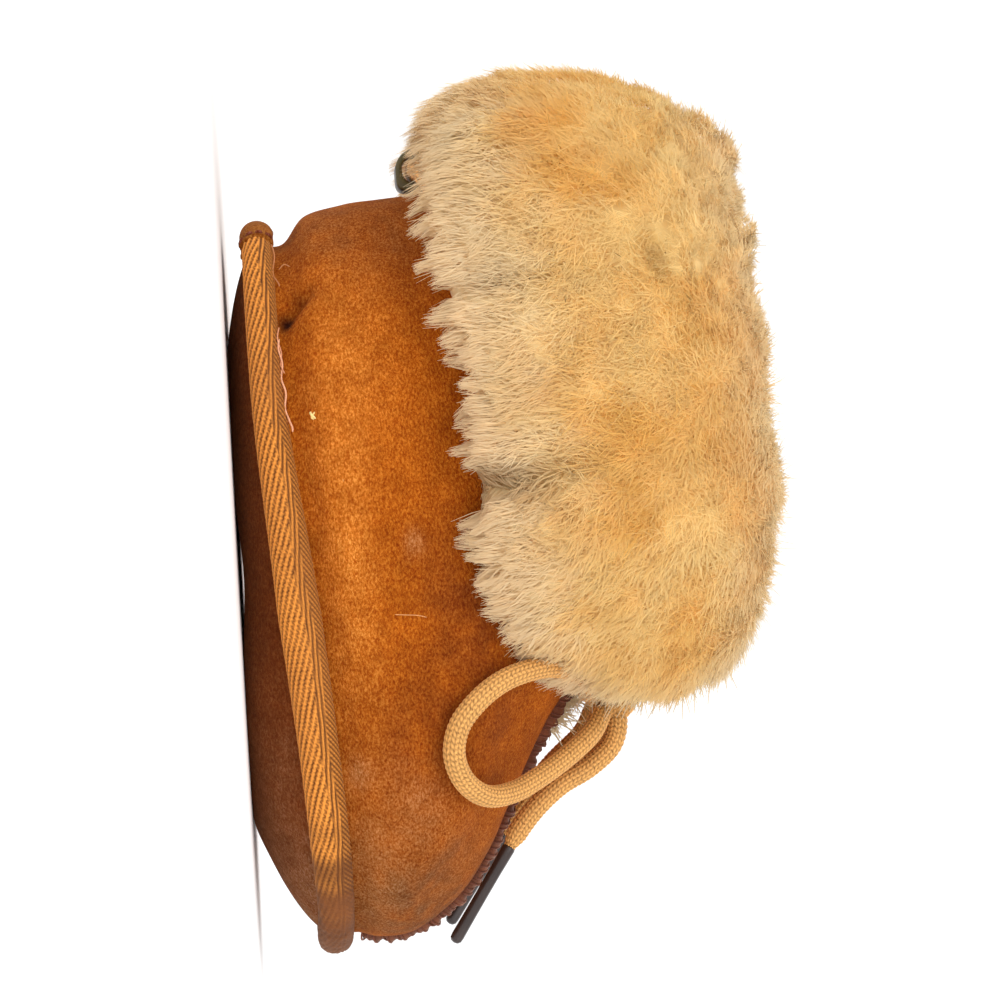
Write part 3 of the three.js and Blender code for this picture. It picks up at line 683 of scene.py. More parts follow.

# Marks of wear, of a painted highlight along the tape and of painted shade: side (0 is both), middle,
# reach along x and z, strength and tone
MARKS = [
    [0, 119, 27, 18, 16, 0.85, DUST],
    [0, 106, 17, 12, 6, 0.4, DUST],
    [-1, 58, 17.5, 38, 4.5, 0.7, PAINTED_HIGHLIGHT],
    [1, 60, 17.5, 36, 4.5, 0.65, PAINTED_HIGHLIGHT],
    [-1, 86, 28, 11, 11, 0.5, SHADE],
    [-1, 70, 38, 16, 8, 0.8, SHADE],
    [1, 80, 30, 12, 9, 0.35, SHADE],
    [0, 1, 22, 11, 18, 0.5, DUST],
    [-1, 28, 20, 14, 7, 0.45, PAINTED_HIGHLIGHT],
    [-1, 57, 33, 9, 4, 0.45, SHADE],
    [-1, 88, 38, 6, 7, 0.5, SHADE],
    [-1, 108, 20, 8, 4, 0.14, RUBBED],
    [-1, 97, 27, 7, 5, 0.1, RUBBED],
    [-1, 55, 28.6, 2.2, 1.5, 0.22, RUBBED],
    [-1, 92, 18, 2.6, 1.8, 0.24, RUBBED],
    [1, 48, 30, 2.4, 1.6, 0.25, RUBBED],
    [1, 101, 24, 2, 2, 0.22, RUBBED],
    [-1, 17.8, 10, 1.3, 1.2, 0.9, CREASE_SHADE],
    [-1, 15, 12, 1.6, 1.2, 0.5, CREASE_SHADE],
    [1, 28.5, 14, 1.2, 1.4, 0.5, CREASE_SHADE],
]


def worn_and_shaded(points, base, marks):
    """Tones of a face: its base colour with soft patches, and the marks of wear, painted highlight and
    painted shade.
    """
    tones = base * (1 + 0.12 * noise(points, 9, 7) + 0.08 * noise(points, 3.5, 8))[..., None]
    rough_edge = 1 + 0.55 * noise(points, 4.5, 9) + 0.3 * noise(points, 1.7, 10)
    for side, x, z, reach_x, reach_z, strength, tone in marks:
        d = ((points[..., 0] - x) / reach_x) ** 2 + ((points[..., 2] - z) / reach_z) ** 2
        share = strength * np.exp(-d) * np.clip(rough_edge, 0, 1.5)
        share = np.where(points[..., 1] * side >= 0, np.clip(share, 0, 1), 0)[..., None]
        tones = tones * (1 - share) + tone * share
    return tones


def slit_half(z):
    """Half the width of the slit at a height."""
    return np.where(z > SLIT_FOOT, 0.4 + 0.3 * (z - SLIT_FOOT), 0)


def front_angle(y, rise):
    """The angle at which the front of the upper is y to the side."""
    half = BALL_HALF * along(LEVELS, "rise", "half", rise)
    power = along(LEVELS, "rise", "toe_power", rise)
    return np.arcsin(np.clip((y / half) ** (power / 2), 0, 1))


def slit_angle(rise):
    """Where the upper's face starts beside the slit."""
    return front_angle(slit_half(skin(0, rise)[..., 2]), rise)


EVEN_RISE = 20.0


def wall_grid(rises, columns):
    """A grid from one edge of the slit round to the other: its points, normals and quads.

    Its rows below the slit are closed rings, and their number comes last.
    """
    angles, _ = even_angles(EVEN_RISE, 0.0, columns - 1)
    share = np.append(angles, 2 * math.pi) / (2 * math.pi)
    first = slit_angle(rises)[:, None]
    angles = first + (2 * math.pi - 2 * first) * share[None, :]
    below = int((first == 0).sum())
    index = np.arange(angles.size).reshape(angles.shape)
    index[:below, -1] = index[:below, 0]
    quads = np.stack([index[:-1, :-1], index[:-1, 1:], index[1:, 1:], index[1:, :-1]], -1)
    rise = rises[:, None]
    return skin(angles, rise), skin_normal(angles, rise), quads.reshape(-1, 4), below


def moved_in(face, normals, depth):
    """The face of the wall moved in by a depth, each point at its own height."""
    inner = face - normals * depth
    inner[..., 2] = face[..., 2]
    return inner


def used_only(points, faces, tones):
    """Leaves out points that no face uses."""
    kept = np.unique(faces)
    renumber = np.zeros(len(points), int)
    renumber[kept] = np.arange(len(kept))
    return points[kept], renumber[faces], tones[kept]


EDGE_TONE = linear(150, 84, 40)
UPPER_COLUMNS = 380
LINING_COLUMNS = 150
HIGHEST_RELIEF = 1.2


def upper_piece():
    """The suede face with its relief, close rows where it shows, and the cut edges of its wall."""
    rises = np.concatenate([np.linspace(0, 46, 92), np.linspace(47, SHAFT_TOP, 18)])
    face, normals, quads, below = wall_grid(rises, UPPER_COLUMNS)
    tones = worn_and_shaded(face, CHESTNUT, MARKS)
    outer = face + normals * np.minimum(wear_relief(face), HIGHEST_RELIEF)[..., None]
    edge = moved_in(face, normals, WALL)
    rows, columns = face.shape[:2]
    count = rows * columns
    index = np.arange(count).reshape(rows, columns)
    points = [outer.reshape(-1, 3)]
    faces = [quads]
    slit = slice(below - 1, None)
    rims = [
        [index[-1], edge[-1], 1],
        [index[0], edge[0], -1],
        [index[slit, 0], edge[slit, 0], 1],
        [index[slit, -1], edge[slit, -1], -1],
    ]
    for line, inner, turn in rims:
        own = count + np.arange(len(line))
        count += len(line)
        points.append(inner)
        faces.append(np.stack([line[:-1], line[1:], own[1:], own[:-1]], -1)[:, ::turn])
    points = np.vstack(points)
    edge_tones = np.broadcast_to(EDGE_TONE, (len(points) - rows * columns, 3))
    tones = np.vstack([tones.reshape(-1, 3), edge_tones])
    points, faces, tones = used_only(points, np.vstack(faces), tones)
    piece("suede_upper", points, [faces], SUEDE, tones, ["upper"])


CREAM = linear(242, 220, 178)


def lining_piece():
    """The uneven skin of the lining, just inside the wall."""
    face, normals, quads, _ = wall_grid(np.linspace(1, SHAFT_TOP - 0.6, 60), LINING_COLUMNS)
    lumps = noise(face, 2.2, 12)
    inner = moved_in(face, normals, WALL + 0.15) - normals * (0.35 * (1 + lumps))[..., None]
    tones = CREAM * (0.8 + 0.2 * lumps)[..., None]
    points, faces, tones = used_only(inner.reshape(-1, 3), quads[:, ::-1], tones.reshape(-1, 3))
    piece("wool_lining", points, [faces], WOOL, tones)


upper_piece()
lining_piece()

# Sole: padded suede that rounds up to the tape, with small gathers along its seam
ROUND_POWER = 1.5
ROUND_SIDE = 11.0
ROUND_TOE = 25.0
ROUND_HEEL = 20.0
RIM_INSET = 2.4
TOP_SHARE = 0.42
ARCH = 0.8
ARCH_FROM = 0.35
ARCH_SPAN = 0.25
PAD_EDGE = 2.4
PAD_TOP = 2.9
SOLE_COLUMNS = 340
INSOLE_COLUMNS = 160
# The sole's suede, made much darker than the upper's as painted shade
SOLE_SHADED_TONE = linear(112, 52, 14)
# Marks on the sole, in the same columns as those on the upper
SOLE_MARKS = [
    [0, 118, 8, 16, 9, 0.75, linear(142, 92, 54)],
    [0, 95, 4, 18, 6, 0.35, linear(138, 84, 46)],
    [0, 50, 2, 22, 4, 0.3, linear(90, 44, 18)],
    [0, 3, 4, 12, 7, 0.45, linear(92, 46, 20)],
]


def sole_round(angle):
    """How far in from its rim the sole reaches the floor."""
    c = np.cos(angle)
    return ROUND_SIDE + (np.where(c > 0, ROUND_TOE, ROUND_HEEL) - ROUND_SIDE) * c * c


def arch_lift(x):
    """How far the underside lifts off the floor between the heel and the ball."""
    t = np.clip((x / LENGTH - ARCH_FROM) / ARCH_SPAN, 0, 1)
    return ARCH * np.sin(math.pi * t) ** 2


def sole_piece():
    """Rings from the middle of the sole's top, over its rim and round to the middle of its underside."""
    angles, _ = even_angles(0.0, 0.0, SOLE_COLUMNS)
    reach = sole_round(angles)
    rim = seam_height(skin(angles, 0)[..., 0]) - GAP
    rings = [
        beside(angles, 0, -(TOP_SHARE * reach + RIM_INSET), SOLE_THICK),
        beside(angles, 0, -RIM_INSET, rim),
    ]
    index = np.arange(len(angles))
    gather = np.sin(index * 1.25 + 2 * np.sin(index * 0.11))
    for share in np.concatenate([np.linspace(0, 0.3, 14), np.linspace(0.33, 1, 20)]):
        p = beside(angles, 0, -reach * share)
        drop = (1 - (1 - share) ** ROUND_POWER) ** (1 / ROUND_POWER)
        p[..., 2] = rim * (1 - drop) + arch_lift(p[..., 0]) * drop
        swell = 0.22 * gather * math.exp(-((share - 0.1) / 0.12) ** 2)
        swell = swell + 0.25 * noise(p, 8, 14) * (1 - share)
        p += level_side(angles, 0) * swell[..., None]
        rings.append(p)
    last = rings[-1]
    for w in np.linspace(0, 1, 12)[1:]:
        rings.append(last * np.array([1, 1 - w, 1]))
    top = rings[0]
    for w in np.linspace(0, 1, 5)[1:]:
        rings.insert(0, top * np.array([1, 1 - w, 1]))
    grid = np.array(rings)
    grid[..., 2] = np.maximum(grid[..., 2], 0)
    tones = worn_and_shaded(grid, SOLE_SHADED_TONE, SOLE_MARKS)
    faces = grid_faces(*grid.shape[:2], closed_columns=True)[:, ::-1]
    thing = piece("suede_sole", grid, [faces], SOLE_SUEDE, tones, ["outsole"])


sole_piece()


def insole_piece():
    """The pad in the sole, from its flat underside to its soft top."""
    angles, _ = even_angles(0.0, 0.0, INSOLE_COLUMNS)
    reach = sole_round(angles)
    low = SOLE_THICK + GAP
    edge = RIM_INSET + TOP_SHARE * reach + 2 * GAP
    brow = RIM_INSET + 1 + 0.25 * reach
    rings = [
        beside(angles, 0, -edge, low),
        beside(angles, 0, -brow, low + PAD_EDGE),
        beside(angles, 0, -(brow + 1), low + PAD_TOP),
    ]
    for w in np.linspace(0, 1, 26)[1:]:
        rings.append(rings[2] * np.array([1, 1 - w, 1]))
    grid = np.array(rings)
    grid[2:, :, 2] += 0.3 * noise(grid[2:], 3, 16)
    grid = np.concatenate([grid[:1] * np.array([1, 0, 1]), grid])
    tones = CREAM * (0.86 + 0.16 * noise(grid, 3, 16))[..., None]
    faces = grid_faces(*grid.shape[:2], closed_columns=True)
    thing = piece("wool_insole", grid, [faces], WOOL, tones, ["insole"])


insole_piece()

# Binding tape: herringbone twill as real yarns, felted and brown at the toe
TAPE_PROFILE = np.array([
    [-0.8, -3.31, 0], [0.4, -3.66, 0], [1.5, -3.5, 0], [2.35, -2.9, 0], [2.95, -1.9, 0], [3.3, 0, 0],
    [2.98, 1.9, 0], [2.4, 2.9, 0], [1.6, 3.5, 0], [0.9, 3.66, 0], [0.3, 3.4, 0],
])
TAPE_LIT = linear(250, 160, 66)
TAPE_HOLLOW_SHADE = linear(66, 26, 4)
FELT = linear(106, 58, 24)
GRIME = linear(146, 86, 42)
TAPE_STEP = 0.27
TAPE_COLUMNS = 1180
ROW_PITCH = 0.92
STITCH = 0.78
LINE_PITCH = 0.72
FINE_PITCH = 0.8


def tape_share(x):
    """How wide the tape shows along the shoe: pulled narrow at the heel and the toe."""
    return np.interp(x, [0, 25, 44, 66, 88, 105, 126], [0.68, 0.7, 0.8, 0.94, 0.87, 0.87, 0.78])


def twill(place, across, width):
    """Height from 0 to 1 of the weave: rows of stitches, long lines, and a fine twill at the top."""
    wobble = 0.1 * np.sin(place * 0.37) + 0.03 * np.sin(place * 1.3 + 1)
    row = (across + 0.36 * place + wobble) * 0.94 / ROW_PITCH
    ridge = 0.5 + 0.5 * np.cos(2 * math.pi * row)
    stitch = (place - 0.36 * across) / STITCH + 0.5 * np.floor(row + 0.5)
    holes = 0.5 - 0.5 * np.cos(2 * math.pi * stitch)
    rows = 1 - (1 - ridge) ** 1.1 * (1 - 0.72 * holes)
    line = (across + 0.08 * place + wobble) / LINE_PITCH
    lines = (0.5 + 0.5 * np.cos(2 * math.pi * line)) ** 0.7 * (0.9 + 0.1 * holes)
    fine = 0.5 + 0.5 * np.cos(2 * math.pi * (across - 0.8 * place) / FINE_PITCH)
    cross = 0.5 + 0.5 * np.cos(2 * math.pi * (across + 1.6 * place) / 1.3)
    fine = 0.2 + 0.65 * fine**0.8 * (0.6 + 0.4 * cross)
    share = across / width + 0.03 * np.sin(place * 0.23)
    to_lines, to_fine = smoothstep(0.56, 0.62, share), smoothstep(0.7, 0.74, share)
    return (rows * (1 - to_lines) + lines * to_lines) * (1 - to_fine) + fine * to_fine


def tape_surface(angle, profile, stand, wave=0):
    """Points over the tape's face: angles by profile points, moved out of the face by stand."""
    tangent = np.gradient(profile, axis=0)
    normal = unit(np.stack([tangent[:, 1], -tangent[:, 0]], -1))
    base = skin(angle, 0)
    side = level_side(angle, 0)
    points = base[:, None] + side[:, None] * (profile[:, 0] + normal[:, 0] * stand + wave)[..., None]
    points[..., 2] += profile[:, 1] * tape_share(base[:, :1]) + normal[:, 1] * stand
    return points


def tape_piece():
    """The tape's woven face, closed along its back."""
    profile = even_path(TAPE_PROFILE, TAPE_STEP)[:, :2]
    across = lengths_along(np.pad(profile, ((0, 0), (0, 1))))
    angles, length = even_angles(0.0, 2.0, TAPE_COLUMNS)
    place = np.arange(len(angles)) * length / len(angles)
    base = skin(angles, 0)
    x = base[:, :1]
    share = tape_share(x)
    height = twill(place[:, None], across[None, :] * share, across[-1] * share)
    felt = smoothstep(98, 118, x + 2.5 * np.sin(place[:, None] * 0.9))
    under_cap_shade = smoothstep(6.5, 4.0, x)
    height = height * (1 - 0.55 * felt)
    fuzz = 0.5 + 0.5 * noise(base[:, None] + np.array([0, 0, 1]) * across[None, :, None], 0.9, 18)
    relief = -0.2 + 0.36 * height + 0.16 * felt * fuzz
    wave = 0.16 * noise(base, 12, 19) + 0.1 * noise(base, 5, 20)
    points = tape_surface(angles, profile, relief, wave[:, None])
    # Painted shade: the weave's hollows and holes darker, its raised yarns in the lit colour
    tones = TAPE_HOLLOW_SHADE + (TAPE_LIT - TAPE_HOLLOW_SHADE) * (np.clip(height, 0, 1) ** 1.8)[..., None]
    brown = FELT * (0.75 + 0.4 * fuzz)[..., None]
    brown_share = 0.85 * felt[..., None]
    tones = tones * (1 - brown_share) + brown * brown_share
    grime = np.clip(0.08 + 0.4 * noise(points, 10, 21), 0, 0.35)[..., None]
    tones = tones * (1 - grime) + GRIME * grime
    # Painted shade on the tape where it runs under the heel cap
    tones = tones * (1 - 0.3 * under_cap_shade)[..., None]
    rows, columns = points.shape[:2]
    faces = grid_faces(rows, columns, closed_rows=True)
    first = np.arange(rows) * columns
    after = np.roll(first, -1)
    closing = np.stack([first + columns - 1, first, after, after + columns - 1], -1)
    piece("twill_tape", points, [faces, closing], WEAVE, tones, ["binding_tape"])


tape_piece()


# Threads and seams
def tubes(lines, radius, references, sides=6):
    """Points and faces of many short round threads, each turned by a reference direction."""
    count, steps = lines.shape[:2]
    tangent = unit(np.gradient(lines, axis=1))
    side = unit(np.cross(tangent, references[:, None]))
    lift = np.cross(side, tangent)
    angles = 2 * math.pi * np.arange(sides) / sides
    taper = np.ones(steps)
    taper[[0, -1]] = 0.5
    size = (np.asarray(radius) * np.ones(count))[:, None] * taper
    ring = side[:, :, None] * np.cos(angles)[:, None] + lift[:, :, None] * np.sin(angles)[:, None]
    points = lines[:, :, None] + ring * size[:, :, None, None]
    each = grid_faces(steps, sides, closed_columns=True)
    faces = each[None] + (np.arange(count) * steps * sides)[:, None, None]
    return points.reshape(-1, 3), faces.reshape(-1, 4)


def joined(parts):
    """Several [points, faces, tones] as one."""
    points, faces, tones, count = [], [], [], 0
    for part_points, part_faces, part_tones in parts:
        points.append(part_points)
        faces.append(part_faces + count)
        tones.append(np.broadcast_to(part_tones, part_points.shape))
        count += len(part_points)
    return np.vstack(points), [np.vstack(faces)], np.vstack(tones)


SEAM_FOOT = 17.2
SEAM_TOP = 62.0
KNOB = 2.5
RIDGE_STEP = 0.3
WHIP_PITCH = 1.15
SEAM_SUEDE = linear(108, 54, 24)
SEAM_THREAD = linear(112, 56, 34)


def knobs(place):
    """How the seam swells and shrinks along its length."""
    drift = 0.9 * np.sin(0.31 * place) + 0.6 * np.sin(0.83 * place + 2)
    return 1 + 0.15 * np.sin(2 * math.pi * place / KNOB + drift) + 0.1 * np.sin(1.13 * place + drift)


def ridge(path, outward, across, half, high):
    """A knobbly rounded ridge along a path."""
    place = lengths_along(path)
    knob = knobs(place) + 0.1 * noise(path, 2.2, 61)
    ends = smoothstep(-0.4, 1.2, np.minimum(place, place[-1] - place))
    turn = np.linspace(-0.15, math.pi + 0.15, 15)
    wide = across[:, None] * np.cos(turn)[None, :, None] * half
    tall = outward[:, None] * np.sin(turn)[None, :, None] * high
    points = path[:, None] + (wide + tall) * (knob * ends)[:, None, None]
    tones = SEAM_SUEDE * (1 + 0.25 * noise(points, 1.6, 62))[..., None]
    return points.reshape(-1, 3), grid_faces(len(path), len(turn)), tones.reshape(-1, 3)


def whipping(path, outward, across, half, high):
    """Thread that goes over such a ridge again and again, at a slant."""
    place = lengths_along(path)
    middles = np.arange(0.9, place[-1] - 0.6, WHIP_PITCH)
    middles = middles + 0.14 * np.sin(middles * 3.1) + 0.1 * np.sin(middles * 7.7)
    turn = np.linspace(-0.25, math.pi + 0.25, 11)
    slant = 0.75 * np.cos(turn)
    at = np.clip(middles[:, None] + slant[None, :], 0, place[-1])

    def between(values):
        return on_line(values, place, at)

    knob = knobs(at) + 0.03
    wide = between(across) * (np.cos(turn)[None, :] * (half + 0.12) * knob)[..., None]
    tall = between(outward) * (np.sin(turn)[None, :] * (high + 0.04) * knob)[..., None]
    lines = between(path) + wide + tall
    along_way = between(unit(np.gradient(path, axis=0)))[:, 5]
    points, faces = tubes(lines, 0.17, along_way)
    return points, faces, SEAM_THREAD * (1 + 0.22 * noise(points, 1.1, 63))[:, None]


def front_seam_piece():
    """The seam from the toe up to the slit, and its two arms along the slit's edges."""
    parts = []
    fine = np.linspace(2, SHAFT_TOP - 4, 700)
    heights = skin(0, fine)[:, 2]
    stem = fine[(heights > SEAM_FOOT) & (heights < SLIT_FOOT + 0.5)]
    arm = fine[(heights > SLIT_FOOT - 0.5) & (heights < SEAM_TOP)]
    edge = front_angle(slit_half(skin(0, arm)[:, 2]) + 0.8, arm)
    runs = [[0, stem, 1.3, 1.45], [edge, arm, 1.1, 1.5], [-edge, arm, 1.1, 1.5]]
    for angle, rise, wide, high in runs:
        path = skin(angle, rise)
        outward = skin_normal(angle, rise)
        across = unit(np.cross(unit(np.gradient(path, axis=0)), outward))
        place = lengths_along(path)
        even = np.linspace(0, place[-1], int(place[-1] / RIDGE_STEP))
        rows = [on_line(values, place, even) for values in (path, outward, across)]
        parts.append(ridge(*rows, wide, high))
        parts.append(whipping(*rows, wide, high))
    points, faces, tones = joined(parts)
    piece("overlock_seam", points, faces, THREAD, tones, ["front_seam"])


front_seam_piece()

# Heel patch: a suede cap over the join of the tape, sewn down at its ends
PATCH_HALF_ANGLE = math.radians(18)
PATCH_TONE = linear(150, 84, 26)
PATCH_STEP = 0.3
PATCH_HALF = 15.0


def heel_patch_piece():
    """The cap over the tape, thin at its edge, and the stitches at its two ends."""
    profile = even_path(TAPE_PROFILE[1:-1], PATCH_STEP)[:, :2]
    share = np.linspace(-1, 1, 90)
    angle = math.pi + PATCH_HALF_ANGLE * share
    index = np.arange(len(profile))
    from_end = (1 - np.abs(share)) * PATCH_HALF
    from_edge = np.minimum(index, index[::-1]) * PATCH_STEP
    inset = np.minimum(from_end[:, None], from_edge[None, :] + 0.1)
    stand = -0.1 + 0.65 * smoothstep(0, 1.0, inset)
    points = tape_surface(angle, profile, stand + 0.12 * noise(tape_surface(angle, profile, 0), 3, 64))
    tones = PATCH_TONE * (1 + 0.12 * noise(points, 4, 65) - 0.35 * np.exp(-inset / 0.5))[..., None]
    parts = [[points.reshape(-1, 3), grid_faces(*points.shape[:2]), tones.reshape(-1, 3)]]
    for end in (-1, 1):
        turned = math.pi + end * PATCH_HALF_ANGLE * np.array([0.9])
        ends = tape_surface(turned, profile, 0.55)[0]
        starts = np.arange(3, len(ends) - 7, 7)
        lines = np.stack([ends[starts + k] for k in range(6)], 1)
        outward = level_side(turned, 0)[0]
        lines = lines + outward * np.array([-0.25, 0.1, 0.16, 0.16, 0.1, -0.25])[None, :, None]
        way = np.broadcast_to(np.array([0, 1.0, 0]), (len(lines), 3))
        stitch_points, stitch_faces = tubes(lines, 0.26, way)
        parts.append([stitch_points, stitch_faces, SEAM_THREAD * 1.25])
    points, faces, tones = joined(parts)
    piece("heel_cap", points, faces, SUEDE, tones, ["heel_patch"])


heel_patch_piece()

# Keeper: a folded leather band that holds the lace at the heel
KEEPER_HOLE = LACE / 2 + 0.6
KEEPER_REACH = KEEPER_HOLE + 1.1
# The band's section: share of the way from the hole to the outside, and place across
KEEPER_SECTION = [
    [1, -2.6], [1, 0], [1, 2.6], [0.93, 2.9], [0.75, 3.0], [0.25, 3.0], [0.07, 2.9],
    [0, 2.6], [0, 0], [0, -2.6], [0.07, -2.9], [0.25, -3.0], [0.75, -3.0], [0.93, -2.9],
]
KEEPER_FACE = linear(34, 28, 20)
KEEPER_SIDE_HIGHLIGHT = linear(82, 74, 40)
KEEPER_INSIDE = linear(70, 42, 16)


def keeper_piece():
    """The band: round towards the heel's outside and square towards the shoe."""
    turn = np.linspace(0, 2 * math.pi, 72, endpoint=False)
    c, s = np.cos(turn), np.sin(turn)
    power = np.where(c > 0, 5.0, 2.0)
    outer = KEEPER_REACH * np.stack([share_power(c, power), share_power(s, power)], -1)
    hole = KEEPER_HOLE * np.stack([c, s], -1)
    x, _, z = beside_shaft(math.pi, KEEPER_OUT, KEEPER_HEIGHT)
    points, tones = [], []
    for share, y in KEEPER_SECTION:
        flat = hole + (outer - hole) * share
        points.append(np.stack([x + flat[:, 0], np.full(len(turn), y), z + flat[:, 1]], -1))
        # Painted highlight: the band's flat sides lighter than its round face
        rim = KEEPER_SIDE_HIGHLIGHT if abs(y) > 2.7 else KEEPER_FACE
        tones.append(np.broadcast_to(KEEPER_INSIDE if share == 0 else rim, (len(turn), 3)))
    grid = np.array(points)
    faces = grid_faces(*grid.shape[:2], closed_rows=True, closed_columns=True)
    colour = np.array(tones) * (1 + 0.2 * noise(grid, 1.8, 66))[..., None]
    piece("lace_keeper", grid, [faces], LEATHER, colour, ["heel_loop"])


keeper_piece()


# Stray threads, lint and a scratch, as seen on the photo's side and a few on the other
def angle_at(x, side):
    """The angle of the seam line at a place along the shoe, on one side."""
    fine = np.linspace(0, math.pi, 2000)
    found = np.interp(x, skin(fine, 0)[::-1, 0], fine[::-1])
    return found if side > 0 else 2 * math.pi - found


WALL_ANGLES = np.linspace(0, 2 * math.pi, 721)
WALL_RISES = np.linspace(0, 60, 241)
WALL_POINTS = skin(WALL_ANGLES[:, None], WALL_RISES[None, :])


def on_wall(x, z, side):
    """The point of the upper's face seen at x and z on one side, and its normal."""
    apart = (WALL_POINTS[..., 0] - x) ** 2 + (WALL_POINTS[..., 2] - z) ** 2
    apart = np.where(WALL_POINTS[..., 1] * side >= 0, apart, FAR)
    a, r = np.unravel_index(np.argmin(apart), apart.shape)
    return WALL_POINTS[a, r], skin_normal(WALL_ANGLES[a], WALL_RISES[r])


# Each lies on the suede: side, [x, z, lift] points, radius and tone
STRAYS = [
    [-1, [[66.6, 25, 0.1], [66.9, 27, 0.3], [66.7, 28.6, 0.3], [67.2, 30, 0.1]], 0.07,
     linear(220, 156, 96)],
    [-1, [[32.9, 13.5, 0.3], [33.5, 13.7, 0.9], [34.1, 14.2, 0.5]], 0.2, linear(250, 226, 150)],
    [-1, [[33.3, 14.3, 0.4], [33.9, 13.9, 0.8], [34.6, 14.1, 0.3]], 0.16, linear(246, 216, 136)],
    [-1, [[44, 17.6, 0.3], [44.5, 18, 0.6], [44.9, 17.8, 0.3]], 0.14, linear(236, 190, 120)],
    [-1, [[9, 9.6, 0.3], [8.2, 10.6, 0.5], [8.6, 11.6, 0.3]], 0.09, linear(206, 140, 84)],
    [1, [[58, 24, 0.3], [60, 25.4, 0.5], [61.4, 25, 0.3]], 0.09, linear(232, 176, 116)],
    [1, [[28, 20, 0.3], [28.6, 20.5, 0.8], [29.2, 20.3, 0.3]], 0.16, linear(246, 216, 136)],
    [1, [[5, 11, 0.3], [3.6, 12.4, 1.4], [4.4, 14.4, 1.4]], 0.1, linear(206, 140, 84)],
]
# Frayed ends along the tape's upper edge: side, from x, to x, radius and tone
FRAYS = [
    [-1, 21.5, 36.5, 0.17, linear(236, 170, 130)],
    [-1, 19.5, 27.0, 0.12, linear(222, 150, 108)],
    [-1, 6.0, 13.0, 0.12, linear(196, 124, 70)],
    [1, 40.0, 52.0, 0.15, linear(230, 164, 120)],
]


def strays_piece():
    """All stray threads and frayed ends, as one piece."""
    parts = []
    for side, marks, radius, tone in STRAYS:
        line = []
        for x, z, lift in marks:
            point, normal = on_wall(x, z, side)
            line.append(point + normal * (lift + 0.2))
        line = even_path(line, 0.3)
        way = np.array([[0.35, side * 0.9, 0.25]])
        points, faces = tubes(line[None], radius, way, 5)
        parts.append([points, faces, tone])
    for n, (side, start, end, radius, tone) in enumerate(FRAYS):
        x = np.linspace(start, end, 40)
        angle = np.array([angle_at(v, side) for v in x])
        line = beside(angle, 0, 1.9 + 0.3 * np.sin(0.9 * x + n))
        line[:, 2] += 3.7 * tape_share(x) + 0.22 * np.sin(1.3 * x + 2 * n)
        line[:, 2] += 0.5 * smoothstep(end - 2, end, x)
        points, faces = tubes(line[None], radius, np.array([[0, side * 0.6, 0.8]]), 5)
        parts.append([points, faces, tone])
    points, faces, tones = joined(parts)
    piece("stray_threads", points, faces, THREAD, tones)


strays_piece()

# Wool: locks of fine fibres that grow from the turned-down skin and hang over its edge
HONEY = linear(250, 222, 158)
AMBER = linear(244, 200, 114)
PALE = linear(243, 223, 187)
# A darker amber for the roots of the fibres and the body under them: painted shade
ROOT = linear(243, 206, 136)
ROLL_DEPTH = 3.6
# Rows of the wool, from its lower edge over the crest to the inside of the rim: how far out its fibres
# root, their height above the lower edge (a share of the whole, then more), and their way (out, up)
ROOT_ROWS = np.array([
    [5.4, 0.0, 7.5, 1.0, 0.0],
    [5.5, 0.03, 7.5, 1.0, 0.05],
    [5.8, 0.17, 5.5, 1.0, 0.12],
    [6.0, 0.38, 3.5, 1.0, 0.2],
    [5.6, 0.58, 1.5, 1.0, 0.35],
    [4.0, 0.72, 0.5, 0.85, 0.6],
    [1.6, 0.84, 0.0, 0.5, 0.9],
    [-0.6, 0.85, 0.0, 0.0, 1.0],
    [-1.6, 0.84, 0.0, -0.6, 0.8],
    [-1.8, 0.8, 0.0, -1.0, 0.25],
    [-2.2, 0.68, 0.0, -1.0, -0.3],
])


def from_toe(angle):
    """How far an angle is from the toe, on either side."""
    return math.pi - np.abs(math.pi - angle)


def cuff_at(angle):
    """The cuff's lower edge, crest, thickness and fringe at angles."""
    degrees = np.degrees(from_toe(angle))
    return [along(CUFF, "angle", name, degrees) for name in list(CUFF)[1:]]


def cuff_rails(angle):
    """For each angle, the wool's outer face, its roots and its way out, at the eleven rows."""
    lower, crest, thick, fringe = cuff_at(angle)
    lower = lower - fringe
    tall = crest - lower
    base, side = skin(angle, SHAFT_RISE), level_side(angle, SHAFT_RISE)
    up = np.array([0, 0, 1.0])

    def at(out, z):
        points = base + side * np.asarray(out)[..., None]
        points[..., 2] = z
        return points

    inside = -WALL - GAP
    face = [at(thick * out, lower + tall * share) for out, share in CUFF_FACE]
    face.append(at(inside - 0.4 * ROLL_DEPTH, crest - 0.6))
    face.append(at(inside - ROLL_DEPTH, crest - 4))
    face.append(at(inside - ROLL_DEPTH, SHAFT_TOP - 2))
    roots, ways = [], []
    for out, share, more, way_out, way_up in ROOT_ROWS:
        room = np.minimum(thick * 0.62, out) if out > 0 else out
        roots.append(at(room, np.minimum(lower + tall * share + more, crest - 6.5)))
        ways.append(unit(side * way_out + up * way_up))
    return np.stack(face, 1), np.stack(roots, 1), np.stack(ways, 1)


def on_rows(rails, row):
    """Points between the rows, on smooth curves through them."""
    last = rails.shape[1] - 1
    k = np.clip(np.floor(row).astype(int), 0, last - 1)
    t = (row - k)[:, None]
    n = np.arange(len(row))
    p0, p1 = rails[n, np.maximum(k - 1, 0)], rails[n, k]
    p2, p3 = rails[n, k + 1], rails[n, np.minimum(k + 2, last)]
    return p1 + 0.5 * t * (p2 - p0 + t * (2 * p0 - 5 * p1 + 4 * p2 - p3 + t * (3 * (p1 - p2) + p3 - p0)))


